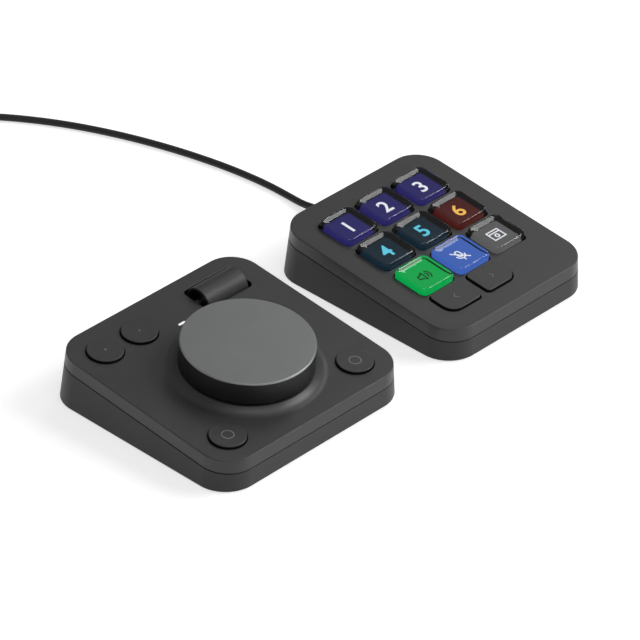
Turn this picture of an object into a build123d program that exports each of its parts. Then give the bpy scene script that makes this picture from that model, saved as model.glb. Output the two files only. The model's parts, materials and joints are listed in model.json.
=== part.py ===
from build123d import *
import os
from dataclasses import dataclass
from math import cos, pi, radians, sin, tan

# A desktop control set: a dial pad and a key pad, two separate wedge-shaped housings standing side
# by side. X runs right, Y back and Z up; Z = 0 is the desk. All sizes are in millimetres.

# Both housings
unit_gap = 19.8             # clear space between the two units at the desk
foot_height = 0.3           # rubber feet below the underside
deck_tilt = 5.4             # degrees that the deck rises towards the back
deck_length = 89.5          # front to back, along the deck
deck_corner = 11.9          # corner radius of the deck
front_draft = 7.0           # degrees that the front wall leans out
cover_height = 5.2          # top cover, from the deck down to the seam
seam_gap = 0.4
deck_thickness = 2.0
wall = 2.0
floor_thickness = 1.5
edge_round = 0.35
bottom_round = 0.35
seam_round = 0.12           # both lips of the seam
lip_height = 1.3            # tongue of the base that stands inside the cover
lip_clearance = 0.1
keypad_setback = -0.6       # how much further back the key pad's deck centre lies

# Fasteners and feet
corner_inset = 6.3          # feet and corner screws, in from the deck's edges
boss_radius = 3.0
screw_radius = 1.0
screw_head_radius = 2.1
screw_head_height = 1.2
screw_seat_depth = 10.0     # screw heads seat this far below the deck
screw_tip_depth = 2.8
foot_radius = 4.2
foot_recess = 0.5
board_thickness = 1.2
board_margin = 0.8          # board to the inner walls and bosses
post_radius = 2.0
running_clearance = 0.05
seat_gap = 0.05             # between a part that slides and the face it rests on

# Key pad
keypad_width = 76.6
keypad_deck_height = 17.54  # deck centre above the underside
keypad_side_draft = 2.7
key_pitch = 19.6
key_rows = 3
key_columns = 3
key_grid_y = 6.2
key_size = 16.8
key_corner = 2.0
key_clearance = 0.3         # key to the edge of its opening
key_proud = 2.7             # crown above the deck
key_bevel = 1.5             # sloping border round the crown
key_bevel_height = 0.7
key_dish = 0.45             # how far the crown is hollowed
key_flange = 0.9            # rim under the deck that keeps the key in
flange_thickness = 0.6
key_travel = 1.0            # leaves the key clear of the mat
mat_thickness = 0.5
mat_window = 13.0
display_thickness = 1.6
display_margin = 0.3        # display beyond the outer keys
carrier_thickness = 1.0
tray_rim = 1.2
page_width = 15.8
page_length = 12.0
page_y = -29.4
page_corner = 1.6
page_round_corner = 5.0
page_proud = 0.9
page_clearance = 0.6
page_travel = 0.5
button_round = 0.25         # rim of every push button
switch_size = 5.0
keypad_switch_height = 3.2
stem_radius = 1.6
back_post_inset = (12.3, 8.7)   # board posts, in from the deck's edges
front_post_inset = (7.3, 16.4)

# Socket, plug and cord
socket_height = 3.5         # socket axis above the desk
socket_width = 8.94
socket_thickness = 3.2
socket_length = 7.3
socket_wall = 0.3
plug_tip_width = 8.25
plug_tip_thickness = 2.4
plug_tip_length = 6.2
plug_width = 11.0
plug_thickness = 5.0
plug_length = 14.0
plug_pocket = 6.5           # depth of the notch that the plug stands in
pocket_clearance = 0.8
relief_length = 4.0
relief_clearance = 0.1
relief_ribs = (0.2, 0.4, 0.7)    # how far each rib of the relief stands out, towards the plug
relief_flare = 0.1          # how much a rib widens along its length
cord_lead = 3.6             # straight stretch behind the relief
cord_diameter = 2.8
cord_radius = cord_diameter / 2
grip_round = 0.8
cord_length = 1500.0
coil_centre = (-20.0, 205.4)
coil_inner_radius = 10.7
coil_outer_radius = 22.8
coil_height = 11.4

# Dial pad
dialpad_width = 91.4
dialpad_deck_height = 17.04
dialpad_side_draft = 4.0
dial_y = -8.3
dial_radius = 24.75
dial_top = 12.0             # dial face above the deck
dial_cap_thickness = 0.55
dial_cap_chamfer = 0.45
dial_wall = 2.2
collar_top = 2.1            # raised collar that the dial turns in
collar_radius = 25.4
collar_foot_radius = 29.8
collar_width = 3.2
collar_edge = 0.3
dial_gap = 0.4
shaft_radius = 3.0
bush_wall = 1.5
bush_boss_wall = 1.8
bush_top = 5.0
bush_bottom = -6.0
encoder_size = 14.0
encoder_height = 3.0
encoder_ear = 2.0
shaft_dip = 2.0             # how far the shaft reaches into the encoder
button_radius = 6.85
button_clearance = 0.4
button_proud = 1.05
button_flange = 0.75
button_travel = 0.6
button_gap = 0.15           # between a pressed button and its switch
left_button_inset = 13.2    # round buttons, in from the deck's edges
right_button_inset = 13.9
front_button_inset = 12.9
back_button_inset = 13.8
back_button_pitch = 16.9
switch_height = 1.5
roller_x = 24.45
roller_inset = 13.45        # roller axis, in from the deck's back edge
roller_radius = 6.2
roller_length = 20.0
roller_drop = 2.0           # roller axis below the deck
roller_chamfer = 0.25
roller_rim = 1.1            # rim round the dished ends
roller_dish = 0.8
roller_end_gap = 1.8
roller_side_gap = 0.8
trough_corner = 2.2
trough_edge = 0.2
axle_radius = 1.5
end_play = 0.3
cradle_wall = 1.6
cutout_margin = 0.5         # board to what stands through it
light_y = 24.9
light_length = 3.4
light_width = 1.0
battery_radius = 5.25
battery_length = 44.5
battery_nub_radius = 1.9
battery_nub_length = 0.8
battery_pitch = 11.0
bay_x = -16.0               # middle of the battery bay
bay_y = 16.7
bay_wall = 1.5
bay_height = 8.4            # bay walls above the underside
bay_clearance = 0.3
contact_thickness = 0.4
spring_length = 1.9
spring_radius = 3.0
spring_top_radius = 2.0
battery_edge = 0.5
door_clearance = 0.2
hook_width = 4.0
hook_thickness = 0.7
hook_spread = 28.0
power_inset = 16.7          # underside controls, in from the deck's right edge
power_y = 12.0
knob_length = 4.0
knob_width = 2.6
knob_proud = 0.5
knob_rim = 1.2              # rim of the knob and the pairing button inside the floor
power_travel = 3.0
pairing_inset = 14.7
pairing_y = 0.0
pairing_radius = 2.2
pairing_travel = 0.6
front_screw_x = 18.5        # the dial pad's screws stand between its buttons
back_screw_x = 1.5
side_screw_inset = 7.4
left_screw_y = -10.0
right_screw_y = 13.0


def tan_degrees(angle):
    """Tangent of an angle in degrees."""
    return tan(radians(angle))


rise = sin(radians(deck_tilt))
run = cos(radians(deck_tilt))
deck_normal = Axis((0, 0, 0), (0, -rise, run))


@dataclass(frozen=True)
class Housing:
    """Outside form of one unit, from its deck down to the desk."""

    centre_x: float
    centre_y: float
    width: float
    deck_height: float
    side_draft: float
    screws: tuple

    def deck(self, height=0.0):
        """Plane parallel to the deck, at a height above it."""
        origin = (self.centre_x, self.centre_y, foot_height + self.deck_height)
        return Plane(origin=origin, x_dir=(1, 0, 0), z_dir=(0, -rise, run)).offset(height)

    def floor(self, height=0.0):
        """Level plane at a height above the underside."""
        return Plane(origin=(self.centre_x, self.centre_y, foot_height + height))


def corner_points(width):
    """Places near the four corners of a deck."""
    x = width / 2 - corner_inset
    y = deck_length / 2 - corner_inset
    return tuple((sx * x, sy * y) for sx in (-1, 1) for sy in (-1, 1))


def housing_reach(deck_height, draft, side):
    """How far the front (side -1) or back (side 1) wall stands out from the deck centre."""
    slope = tan_degrees(draft)
    half = deck_length / 2
    depth = (deck_height + side * half * rise) / (run - side * slope * rise)
    return (half + depth * slope) * run + side * depth * rise


def housing_half_width(width, deck_height, draft):
    """Half of the width at the back of the underside, where a housing is widest."""
    depth = deck_height / run + deck_length / 2 * rise
    return width / 2 + depth * tan_degrees(draft)


dialpad_half = housing_half_width(dialpad_width, dialpad_deck_height, dialpad_side_draft)
keypad_half = housing_half_width(keypad_width, keypad_deck_height, keypad_side_draft)
overall_half = dialpad_half + keypad_half + unit_gap / 2
front_reach = max(housing_reach(dialpad_deck_height, front_draft, -1),
                  housing_reach(keypad_deck_height, front_draft, -1) - keypad_setback)
back_reach = max(housing_reach(dialpad_deck_height, dialpad_side_draft, 1),
                 housing_reach(keypad_deck_height, keypad_side_draft, 1) + keypad_setback)
middle_y = (front_reach - back_reach) / 2

screw_row = deck_length / 2 - corner_inset
screw_column = dialpad_width / 2 - side_screw_inset
dialpad_screw_points = (
    (-front_screw_x, -screw_row), (front_screw_x, -screw_row), (back_screw_x, screw_row),
    (-screw_column, left_screw_y), (screw_column, right_screw_y),
)
dialpad = Housing(-overall_half + dialpad_half, middle_y, dialpad_width, dialpad_deck_height,
                  dialpad_side_draft, dialpad_screw_points)
keypad = Housing(overall_half - keypad_half, middle_y + keypad_setback, keypad_width,
                 keypad_deck_height, keypad_side_draft, corner_points(keypad_width))


def finish(part, name):
    """Label a finished piece and write it."""
    part.label = name
    export_step(part, f"parts/{name}.step")


def outline(unit, depth, inset=0.0):
    """The housing's rounded outline at a depth below its deck."""
    side = depth * tan_degrees(unit.side_draft) - inset
    front = depth * tan_degrees(front_draft) - inset
    with BuildSketch(unit.deck(-depth)) as shape:
        with Locations((0, (side - front) / 2)):
            RectangleRounded(unit.width + 2 * side, deck_length + side + front, deck_corner + side)
    return shape.sketch.face()


def drafted_block(unit, top, bottom, inset=0.0, mode=Mode.ADD):
    """Block inside the housing's walls between two depths below the deck."""
    loft(sections=[outline(unit, top, inset), outline(unit, bottom, inset)], ruled=True, mode=mode)


def discs(plane, points, radius):
    """Equal round outlines at some points of a plane."""
    with BuildSketch(plane) as shape:
        with Locations(*points):
            Circle(radius)
    return shape.sketch


def top_cover(unit):
    """Hollow cover with its rim rebated for the base's tongue, and with its screw bosses."""
    with BuildPart(mode=Mode.PRIVATE) as cover:
        drafted_block(unit, 0, cover_height)
        fillet(faces().sort_by(deck_normal)[-1].edges(), edge_round)
        fillet(faces().sort_by(deck_normal)[0].edges(), seam_round)
        drafted_block(unit, deck_thickness, cover_height, wall, Mode.SUBTRACT)
        drafted_block(unit, cover_height - lip_height - lip_clearance, cover_height, wall / 2,
                      Mode.SUBTRACT)
        under_deck = unit.deck(-deck_thickness)
        extrude(discs(under_deck, unit.screws, boss_radius),
                amount=-(cover_height - deck_thickness))
        extrude(discs(under_deck, unit.screws, screw_radius),
                amount=-cover_height, mode=Mode.SUBTRACT)
    return cover.part


def base_depth(unit):
    """Depth that passes the underside everywhere."""
    return unit.deck_height + deck_length / 2 * rise + 4 * wall


def base_shell(unit):
    """Wedge-shaped tray below the seam, with its tongue, screw bosses and foot recesses."""
    deep = base_depth(unit)
    seam = cover_height + seam_gap
    underside = unit.floor()
    with BuildPart(mode=Mode.PRIVATE) as room:
        drafted_block(unit, 0, deep, wall)
        split(bisect_by=unit.floor(floor_thickness), keep=Keep.TOP)
    with BuildPart(mode=Mode.PRIVATE) as bosses:
        extrude(discs(unit.deck(-cover_height), unit.screws, boss_radius), amount=-deep)
        split(bisect_by=unit.floor(floor_thickness / 2), keep=Keep.TOP)
    with BuildPart(mode=Mode.PRIVATE) as tray:
        drafted_block(unit, seam, deep)
        split(bisect_by=underside, keep=Keep.TOP)
        fillet(faces().sort_by(Axis.Z)[0].edges(), bottom_round)
        fillet(faces().sort_by(deck_normal)[-1].edges(), seam_round)
        drafted_block(unit, cover_height - lip_height, seam, wall / 2 + lip_clearance)
        add(room.part, mode=Mode.SUBTRACT)
        extrude(discs(unit.deck(-cover_height), unit.screws, boss_radius + lip_clearance),
                amount=cover_height, mode=Mode.SUBTRACT)
        add(bosses.part)
        seats = unit.deck(-screw_seat_depth)
        extrude(discs(underside, foot_points(unit), foot_radius), amount=foot_recess,
                mode=Mode.SUBTRACT)
        extrude(discs(seats, unit.screws, screw_head_radius + lip_clearance),
                amount=-deep, mode=Mode.SUBTRACT)
        extrude(discs(seats, unit.screws, screw_radius + lip_clearance),
                amount=screw_seat_depth - cover_height, mode=Mode.SUBTRACT)
    return tray.part


def foot_points(unit):
    """Middle of each foot, where the axes of the deck's corner places meet the underside."""
    points = []
    for x, y in corner_points(unit.width):
        depth = (unit.deck_height + y * rise) / run
        points.append((x, y * run + depth * rise))
    return points


def block(plane, x, y, width, length, height):
    """Upright block that stands on a plane."""
    with BuildPart(mode=Mode.PRIVATE) as shape:
        with BuildSketch(plane):
            with Locations((x, y)):
                Rectangle(width, length)
        extrude(amount=height)
    return shape.part


def board(unit, depth, cutouts):
    """Circuit board parallel to the deck, clear of the walls and bosses, less some cutouts."""
    with BuildPart(mode=Mode.PRIVATE) as shape:
        extrude(outline(unit, depth, wall + board_margin), amount=-board_thickness)
        top = unit.deck(-depth)
        extrude(discs(top, unit.screws, boss_radius + board_margin / 2),
                amount=-board_thickness, mode=Mode.SUBTRACT)
        for cutout in cutouts:
            add(cutout, mode=Mode.SUBTRACT)
    return shape.part


def board_posts(unit, depth, points):
    """Posts from the base's floor that carry a board."""
    with BuildPart(mode=Mode.PRIVATE) as shape:
        extrude(discs(unit.deck(-depth - board_thickness), points, post_radius),
                amount=-base_depth(unit))
        split(bisect_by=unit.floor(floor_thickness / 2), keep=Keep.TOP)
    return shape.part


def screw_set(unit):
    """The screws, from their heads in the base up into the cover's bosses."""
    with BuildPart(mode=Mode.PRIVATE) as shape:
        seats = unit.deck(-screw_seat_depth)
        extrude(discs(seats, unit.screws, screw_head_radius), amount=-screw_head_height)
        extrude(discs(seats, unit.screws, screw_radius),
                amount=screw_seat_depth - screw_tip_depth)
    return shape.part


def feet_pads(unit):
    """Four round rubber feet, let into the underside."""
    with BuildPart(mode=Mode.PRIVATE) as shape:
        extrude(discs(unit.floor(-foot_height), foot_points(unit), foot_radius),
                amount=foot_height + foot_recess - seat_gap)
        fillet(edges().group_by(Axis.Z)[0], foot_recess / 2)
    return shape.part


def axis_plane(unit, x, y):
    """Plane through an upright axis of the deck: its X runs across and its Y up along the axis."""
    origin = unit.deck().from_local_coords((x, y, 0))
    return Plane(origin=origin, x_dir=(1, 0, 0), z_dir=(0, -run, -rise))


def upright_axis(unit, x, y):
    """Axis square to the deck at a place on it."""
    return Axis(unit.deck().from_local_coords((x, y, 0)), (0, -rise, run))


os.makedirs("parts", exist_ok=True)

# ---------------------------------------------------------------------------------------------
# Key pad: places shared by its pieces
# ---------------------------------------------------------------------------------------------
columns = [(i - (key_columns - 1) / 2) * key_pitch for i in range(key_columns)]
rows = [key_grid_y + ((key_rows - 1) / 2 - i) * key_pitch for i in range(key_rows)]
key_points = [(x, y) for y in rows for x in columns]
flange_top = deck_thickness + seat_gap
flange_bottom = flange_top + flange_thickness
display_depth = flange_bottom + key_travel + seat_gap + mat_thickness
carrier_depth = display_depth + display_thickness
keypad_board_depth = carrier_depth + carrier_thickness
page_x = {"left": columns[0], "right": columns[1]}
display_size = (columns[-1] - columns[0] + key_size + 2 * display_margin,
                rows[0] - rows[-1] + key_size + 2 * display_margin)

# The plug stands in a notch in the back wall, on the housing's centre line
notch_width = plug_width + 2 * pocket_clearance
notch_top = socket_height + plug_thickness / 2 + pocket_clearance
back_wall_y = keypad.centre_y + housing_reach(keypad_deck_height, keypad_side_draft, 1)
notch_face_y = back_wall_y - plug_pocket
cord_start_y = notch_face_y + seam_gap + plug_length + relief_length


def page_outline(plane, side, grow=0.0):
    """Outline of a page button: three tight corners and a full one at the front outside."""
    with BuildSketch(plane) as shape:
        with Locations((page_x[side], page_y)):
            Rectangle(page_width + 2 * grow, page_length + 2 * grow)
        outer = vertices().group_by(Axis.Y)[0].sort_by(Axis.X)[0 if side == "left" else -1]
        fillet([corner for corner in vertices() if corner != outer], page_corner + grow)
        outer = vertices().sort_by_distance(outer)[0]
        fillet(outer, page_round_corner + grow)
    return shape.sketch


with BuildPart() as keypad_top_cover:
    add(top_cover(keypad))
    with BuildSketch(keypad.deck()):
        with Locations(*key_points):
            RectangleRounded(key_size + 2 * key_clearance, key_size + 2 * key_clearance,
                             key_corner + key_clearance)
    extrude(amount=-2 * deck_thickness, mode=Mode.SUBTRACT)
    for side in page_x:
        extrude(page_outline(keypad.deck(), side, page_clearance), amount=-2 * deck_thickness,
                mode=Mode.SUBTRACT)
finish(keypad_top_cover.part, "keypad_top_cover")

# Base, with a notch and a socket window at the back
notch_floor = Plane(origin=(keypad.centre_x, notch_face_y, 0))
socket_plane = Plane(origin=(keypad.centre_x, notch_face_y, socket_height), x_dir=(1, 0, 0),
                     z_dir=(0, -1, 0))
back_post = (keypad_width / 2 - back_post_inset[0], deck_length / 2 - back_post_inset[1])
front_post = (keypad_width / 2 - front_post_inset[0], front_post_inset[1] - deck_length / 2)
keypad_posts = [(side * x, y) for x, y in (back_post, front_post) for side in (-1, 1)]
with BuildPart() as keypad_base:
    add(base_shell(keypad))
    add(board_posts(keypad, keypad_board_depth, keypad_posts))
    add(block(keypad.floor(floor_thickness / 2), 0, notch_face_y - keypad.centre_y
              + (plug_pocket - 2 * wall) / 2, notch_width + 2 * wall, plug_pocket,
              notch_top + wall - foot_height))
    add(block(notch_floor, 0, plug_pocket, notch_width, 2 * plug_pocket, notch_top),
        mode=Mode.SUBTRACT)
    with BuildSketch(socket_plane):
        RectangleRounded(socket_width + 2 * running_clearance,
                         socket_thickness + 2 * running_clearance, socket_thickness / 2)
    extrude(amount=socket_length + seat_gap, mode=Mode.SUBTRACT)
finish(keypad_base.part, "keypad_base")

with BuildPart() as keypad_feet:
    add(feet_pads(keypad))
finish(keypad_feet.part, "keypad_feet")

with BuildPart() as keypad_screws:
    add(screw_set(keypad))
finish(keypad_screws.part, "keypad_screws")

# Keys: a clear block with sloping borders round a hollowed crown, and a rim below the deck
crown = key_size - 2 * key_bevel
dish_radius = ((crown / 2 + key_dish) ** 2 + key_dish ** 2) / (2 * key_dish)
for number, place in enumerate(key_points, start=1):
    with BuildPart() as key:
        with BuildSketch(keypad.deck(-flange_bottom)):
            with Locations(place):
                RectangleRounded(key_size + 2 * key_flange, key_size + 2 * key_flange,
                                 key_corner + key_flange)
        extrude(amount=flange_thickness)
        with BuildSketch(keypad.deck(-flange_bottom)):
            with Locations(place):
                RectangleRounded(key_size, key_size, key_corner)
        extrude(amount=flange_bottom + key_proud - key_bevel_height)
        with BuildSketch(keypad.deck(key_proud - key_bevel_height)) as shoulder:
            with Locations(place):
                RectangleRounded(key_size, key_size, key_corner)
        with BuildSketch(keypad.deck(key_proud)) as rim:
            with Locations(place):
                RectangleRounded(crown, crown, key_corner - key_bevel / 2)
        loft(ruled=True)
        with BuildSketch(axis_plane(keypad, *place)):
            with Locations((0, key_proud - key_dish + dish_radius)):
                Circle(dish_radius)
            with Locations((-dish_radius, key_proud - key_dish + dish_radius)):
                Rectangle(2 * dish_radius, 2 * dish_radius, mode=Mode.SUBTRACT)
        revolve(axis=upright_axis(keypad, *place), mode=Mode.SUBTRACT)
    finish(key.part, f"key_{number}")

# Rubber sheet under the keys' rims, with a window over each picture
with BuildPart() as key_mat:
    with BuildSketch(keypad.deck(-display_depth)):
        with Locations((0, key_grid_y)):
            RectangleRounded(*display_size, key_corner)
        with Locations(*key_points):
            RectangleRounded(mat_window, mat_window, key_corner / 2, mode=Mode.SUBTRACT)
    extrude(amount=mat_thickness)
finish(key_mat.part, "key_mat")

with BuildPart() as display_panel:
    with BuildSketch(keypad.deck(-display_depth)):
        with Locations((0, key_grid_y)):
            RectangleRounded(*display_size, key_corner / 2)
    extrude(amount=-display_thickness)
finish(display_panel.part, "display_panel")

# Tray with a low rim round the display, which lies on the board
with BuildPart() as display_tray:
    with BuildSketch(keypad.deck(-keypad_board_depth)):
        with Locations((0, key_grid_y)):
            Rectangle(display_size[0] + 2 * tray_rim, display_size[1] + 2 * tray_rim)
    extrude(amount=carrier_thickness + display_thickness)
    with BuildSketch(keypad.deck(-carrier_depth)):
        with Locations((0, key_grid_y)):
            RectangleRounded(display_size[0] + 2 * seat_gap, display_size[1] + 2 * seat_gap,
                             key_corner / 2)
    extrude(amount=display_thickness, mode=Mode.SUBTRACT)
finish(display_tray.part, "display_tray")

with BuildPart() as keypad_board:
    add(board(keypad, keypad_board_depth, []))
finish(keypad_board.part, "keypad_board")

# Page buttons, with a stem over each switch
switch_top = keypad_board_depth - keypad_switch_height
stem_length = switch_top - page_travel - seat_gap - flange_bottom
for side in page_x:
    with BuildPart() as page_button:
        extrude(page_outline(keypad.deck(-flange_bottom), side), amount=flange_bottom + page_proud)
        fillet(faces().sort_by(deck_normal)[-1].edges(), button_round)
        with BuildSketch(keypad.deck(-flange_bottom)):
            with Locations((page_x[side], page_y - key_flange / 2)):
                RectangleRounded(page_width + 2 * key_flange, page_length + key_flange,
                                 page_corner)
        extrude(amount=flange_thickness)
        with BuildSketch(keypad.deck(-flange_bottom)):
            with Locations((page_x[side], page_y)):
                Circle(stem_radius)
        extrude(amount=-stem_length)
    finish(page_button.part, f"page_button_{side}")

with BuildPart() as keypad_switches:
    with BuildSketch(keypad.deck(-keypad_board_depth)):
        with Locations(*[(x, page_y) for x in page_x.values()]):
            Rectangle(switch_size, switch_size)
    extrude(amount=keypad_switch_height)
finish(keypad_switches.part, "keypad_switches")

# Socket shell, open towards the back, under its own small board
with BuildPart() as usb_socket:
    with BuildSketch(socket_plane):
        RectangleRounded(socket_width, socket_thickness, socket_thickness / 2 - seat_gap)
    extrude(amount=socket_length)
    with BuildSketch(socket_plane):
        RectangleRounded(socket_width - 2 * socket_wall, socket_thickness - 2 * socket_wall,
                         socket_thickness / 2 - socket_wall - seat_gap)
    extrude(amount=socket_length - socket_wall, mode=Mode.SUBTRACT)
finish(usb_socket.part, "usb_socket")

with BuildPart() as socket_board:
    with BuildSketch(Plane(origin=(keypad.centre_x, notch_face_y - wall,
                                   socket_height + socket_thickness / 2))):
        with Locations((0, -socket_length / 2)):
            Rectangle(2 * socket_width, socket_length)
    extrude(amount=board_thickness)
finish(socket_board.part, "socket_board")


# ---------------------------------------------------------------------------------------------
# Cord: two equal plugs, the laid stretch, the neat coil and the short tail
# ---------------------------------------------------------------------------------------------
def plug_parts(plane, name):
    """Strain relief, moulded grip and metal tip, in a row from the cord's end along the plane's Z."""
    ring = relief_length / 4
    thin = cord_radius + relief_clearance
    first, second, third = relief_ribs
    with BuildPart() as relief:
        with BuildSketch(Plane(origin=plane.origin, x_dir=plane.x_dir, z_dir=plane.y_dir)):
            with BuildLine():
                Polyline((0, 0), (thin, 0), (thin + first, -ring), (thin, -ring),
                         (thin, -1.5 * ring), (thin + second, -1.5 * ring),
                         (thin + second + relief_flare, -2.5 * ring), (thin, -2.5 * ring),
                         (thin, -3 * ring), (thin + third, -3 * ring),
                         (thin + third + relief_flare, -4 * ring), (0, -4 * ring), close=True)
            make_face()
        revolve(axis=Axis(plane.origin, plane.z_dir))
    finish(relief.part, f"{name}_relief")
    with BuildPart() as grip:
        with BuildSketch(plane.offset(relief_length)):
            RectangleRounded(plug_width, plug_thickness, plug_thickness / 2 - lip_clearance)
        extrude(amount=plug_length)
        fillet(faces().sort_by(Axis(plane.origin, plane.z_dir))[0].edges(), grip_round)
    finish(grip.part, f"{name}_grip")
    with BuildPart() as tip:
        with BuildSketch(plane.offset(relief_length + plug_length)):
            RectangleRounded(plug_tip_width, plug_tip_thickness,
                             plug_tip_thickness / 2 - seat_gap)
        extrude(amount=plug_tip_length)
    finish(tip.part, f"{name}_tip")


def cord_tube(points, name):
    """Plain tube along straight runs joined by arcs as large as the runs allow."""
    runs = [Vector(*b) - Vector(*a) for a, b in zip(points, points[1:])]
    radii = []
    for before, after in zip(runs, runs[1:]):
        half_turn = radians(before.get_angle(after)) / 2
        radii.append(0.45 * min(before.length, after.length) / tan(half_turn))
    with BuildPart() as tube:
        with BuildLine() as path:
            FilletPolyline(*points, radius=radii)
        with BuildSketch(Plane(origin=points[0], z_dir=runs[0])):
            Circle(cord_radius)
        sweep()
    length = path.wire().length
    section = pi * cord_radius ** 2
    print(name, "radii", [round(radius) for radius in radii], "length", round(length, 1),
          "volume over section x length", round(tube.part.volume / (section * length), 4))
    finish(tube.part, name)
    return length


cord_route = [
    (keypad.centre_x, cord_start_y, socket_height),
    (keypad.centre_x, cord_start_y + cord_lead, socket_height),
    (57.3, 66.5, 2.2), (58.3, 75.0, 1.4), (58.45, 85.0, 1.4), (57.7, 96.0, 1.4), (55.6, 111.0, 1.4),
    (50.9, 131.5, 1.4), (43.8, 153.3, 1.4), (34.0, 175.3, 1.4), (21.3, 195.6, 1.4), (8.6, 209.9, 1.4),
    (-5.7, 221.3, 1.4),
]
tail_route = [
    (-24.5, 226.3, 10.0), (-36.2, 223.8, 8.9), (-49.0, 219.8, 5.4), (-61.2, 214.2, 2.5),
    (-70.2, 208.8, 2.5),
]
cord_plane = Plane(origin=cord_route[0], x_dir=(1, 0, 0), z_dir=(0, -1, 0))
plug_parts(cord_plane, "plug")
laid = cord_tube(cord_route, "cord")
tail = cord_tube(tail_route, "cord_tail")
end_direction = Vector(*tail_route[-1]) - Vector(*tail_route[-2])
far_plane = Plane(origin=tail_route[-1], x_dir=end_direction.cross(Vector(0, 0, 1)).normalized(),
                  z_dir=end_direction)
plug_parts(far_plane, "far_plug")

# Coil: the outer form of its turns, as one ring
with BuildPart() as cord_coil:
    with BuildSketch(Plane(origin=(*coil_centre, 0), x_dir=(1, 0, 0), z_dir=(0, -1, 0))):
        with Locations(((coil_inner_radius + coil_outer_radius) / 2, coil_height / 2)):
            RectangleRounded(coil_outer_radius - coil_inner_radius, coil_height, cord_radius)
    revolve(axis=Axis((*coil_centre, 0), (0, 0, 1)))
finish(cord_coil.part, "cord_coil")
turn = pi * (coil_inner_radius + coil_outer_radius)
print("coil turns", round((cord_length - laid - tail) / turn, 2))

# ---------------------------------------------------------------------------------------------
# Dial pad: places shared by its pieces
# ---------------------------------------------------------------------------------------------
left_x = left_button_inset - dialpad_width / 2
right_x = dialpad_width / 2 - right_button_inset
front_y = front_button_inset - deck_length / 2
back_y = deck_length / 2 - back_button_inset
button_places = {
    "back_left": (left_x, back_y),
    "back_middle": (left_x + back_button_pitch, back_y),
    "front_left": (left_x, front_y),
    "front_right": (right_x, front_y),
}
board_depth = flange_bottom + button_travel + button_gap + switch_height
power_x = dialpad_width / 2 - power_inset
pairing_x = dialpad_width / 2 - pairing_inset
dial_plane = axis_plane(dialpad, 0, dial_y)
dial_axis = upright_axis(dialpad, 0, dial_y)
bush_radius = shaft_radius + running_clearance + bush_wall
bush_boss_radius = bush_radius + bush_boss_wall
trough_length = roller_length + 2 * roller_end_gap
trough_width = 2 * (roller_radius + roller_side_gap)
roller_place = (roller_x, deck_length / 2 - roller_inset)
cradle_length = trough_length + 2 * cradle_wall
cradle_width = trough_width + 2 * cradle_wall
cradle_bottom = roller_drop + roller_radius + roller_side_gap + cradle_wall
board_bottom = board_depth + board_thickness
bay_length = battery_length + spring_length + 2 * contact_thickness + bay_clearance
bay_width = battery_pitch + 2 * battery_radius + 2 * bay_clearance
battery_height = floor_thickness + bay_clearance / 2 + battery_radius
roller_plane = Plane(origin=dialpad.deck(-roller_drop).from_local_coords((*roller_place, 0)),
                     x_dir=(1, 0, 0), z_dir=(0, -run, -rise))
roller_axis = Axis(roller_plane.origin, (1, 0, 0))
half_roller = roller_length / 2
half_axle = trough_length / 2 + cradle_wall - end_play


def revolved(points, axis, plane):
    """Solid of revolution about an axis in a plane, from its profile's corners."""
    with BuildPart(mode=Mode.PRIVATE) as shape:
        with BuildSketch(plane):
            with BuildLine():
                Polyline(*points, close=True)
            make_face()
        revolve(axis=axis)
    return shape.part


axle_bore = revolved(
    [(-half_axle - end_play / 2, 0), (half_axle + end_play / 2, 0),
     (half_axle + end_play / 2, axle_radius + running_clearance),
     (-half_axle - end_play / 2, axle_radius + running_clearance)], roller_axis, roller_plane)

# Cover, with the collar that sweeps up to the dial, the bush boss and the openings
with BuildPart() as dialpad_top_cover:
    add(top_cover(dialpad))
    with BuildSketch(dial_plane):
        with BuildLine():
            foot_line = TangentArc((collar_foot_radius, 0), (collar_radius, collar_top - collar_edge),
                                   tangent=(-1, 0))
            Polyline(foot_line @ 1, (collar_radius - collar_edge, collar_top),
                     (collar_radius - collar_width, collar_top),
                     (collar_radius - collar_width, -deck_thickness / 2),
                     (collar_foot_radius, -deck_thickness / 2), foot_line @ 0)
        make_face()
    revolve(axis=dial_axis)
    add(revolved([(0, bush_bottom), (bush_boss_radius, bush_bottom), (bush_boss_radius, bush_top),
                  (0, bush_top)], dial_axis, dial_plane))
    add(revolved([(0, bush_bottom - wall), (bush_radius, bush_bottom - wall),
                  (bush_radius, bush_top + wall), (0, bush_top + wall)], dial_axis, dial_plane),
        mode=Mode.SUBTRACT)
    extrude(discs(dialpad.deck(), button_places.values(), button_radius + button_clearance),
            amount=-2 * deck_thickness, mode=Mode.SUBTRACT)
    with BuildSketch(dialpad.deck()):
        with Locations(roller_place):
            RectangleRounded(trough_length, trough_width, trough_corner)
    extrude(amount=-2 * deck_thickness, mode=Mode.SUBTRACT)
    trough_rim = edges().filter_by(GeomType.LINE).sort_by_distance(
        dialpad.deck().from_local_coords((roller_x, roller_place[1] + trough_width / 2, 0)))[0]
    fillet(trough_rim, trough_edge)
    with BuildSketch(dialpad.deck()):
        with Locations((0, light_y)):
            SlotOverall(light_length + 2 * seat_gap, light_width + 2 * seat_gap)
    extrude(amount=-2 * deck_thickness, mode=Mode.SUBTRACT)
    add(axle_bore, mode=Mode.SUBTRACT)
finish(dialpad_top_cover.part, "dialpad_top_cover")

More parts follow.
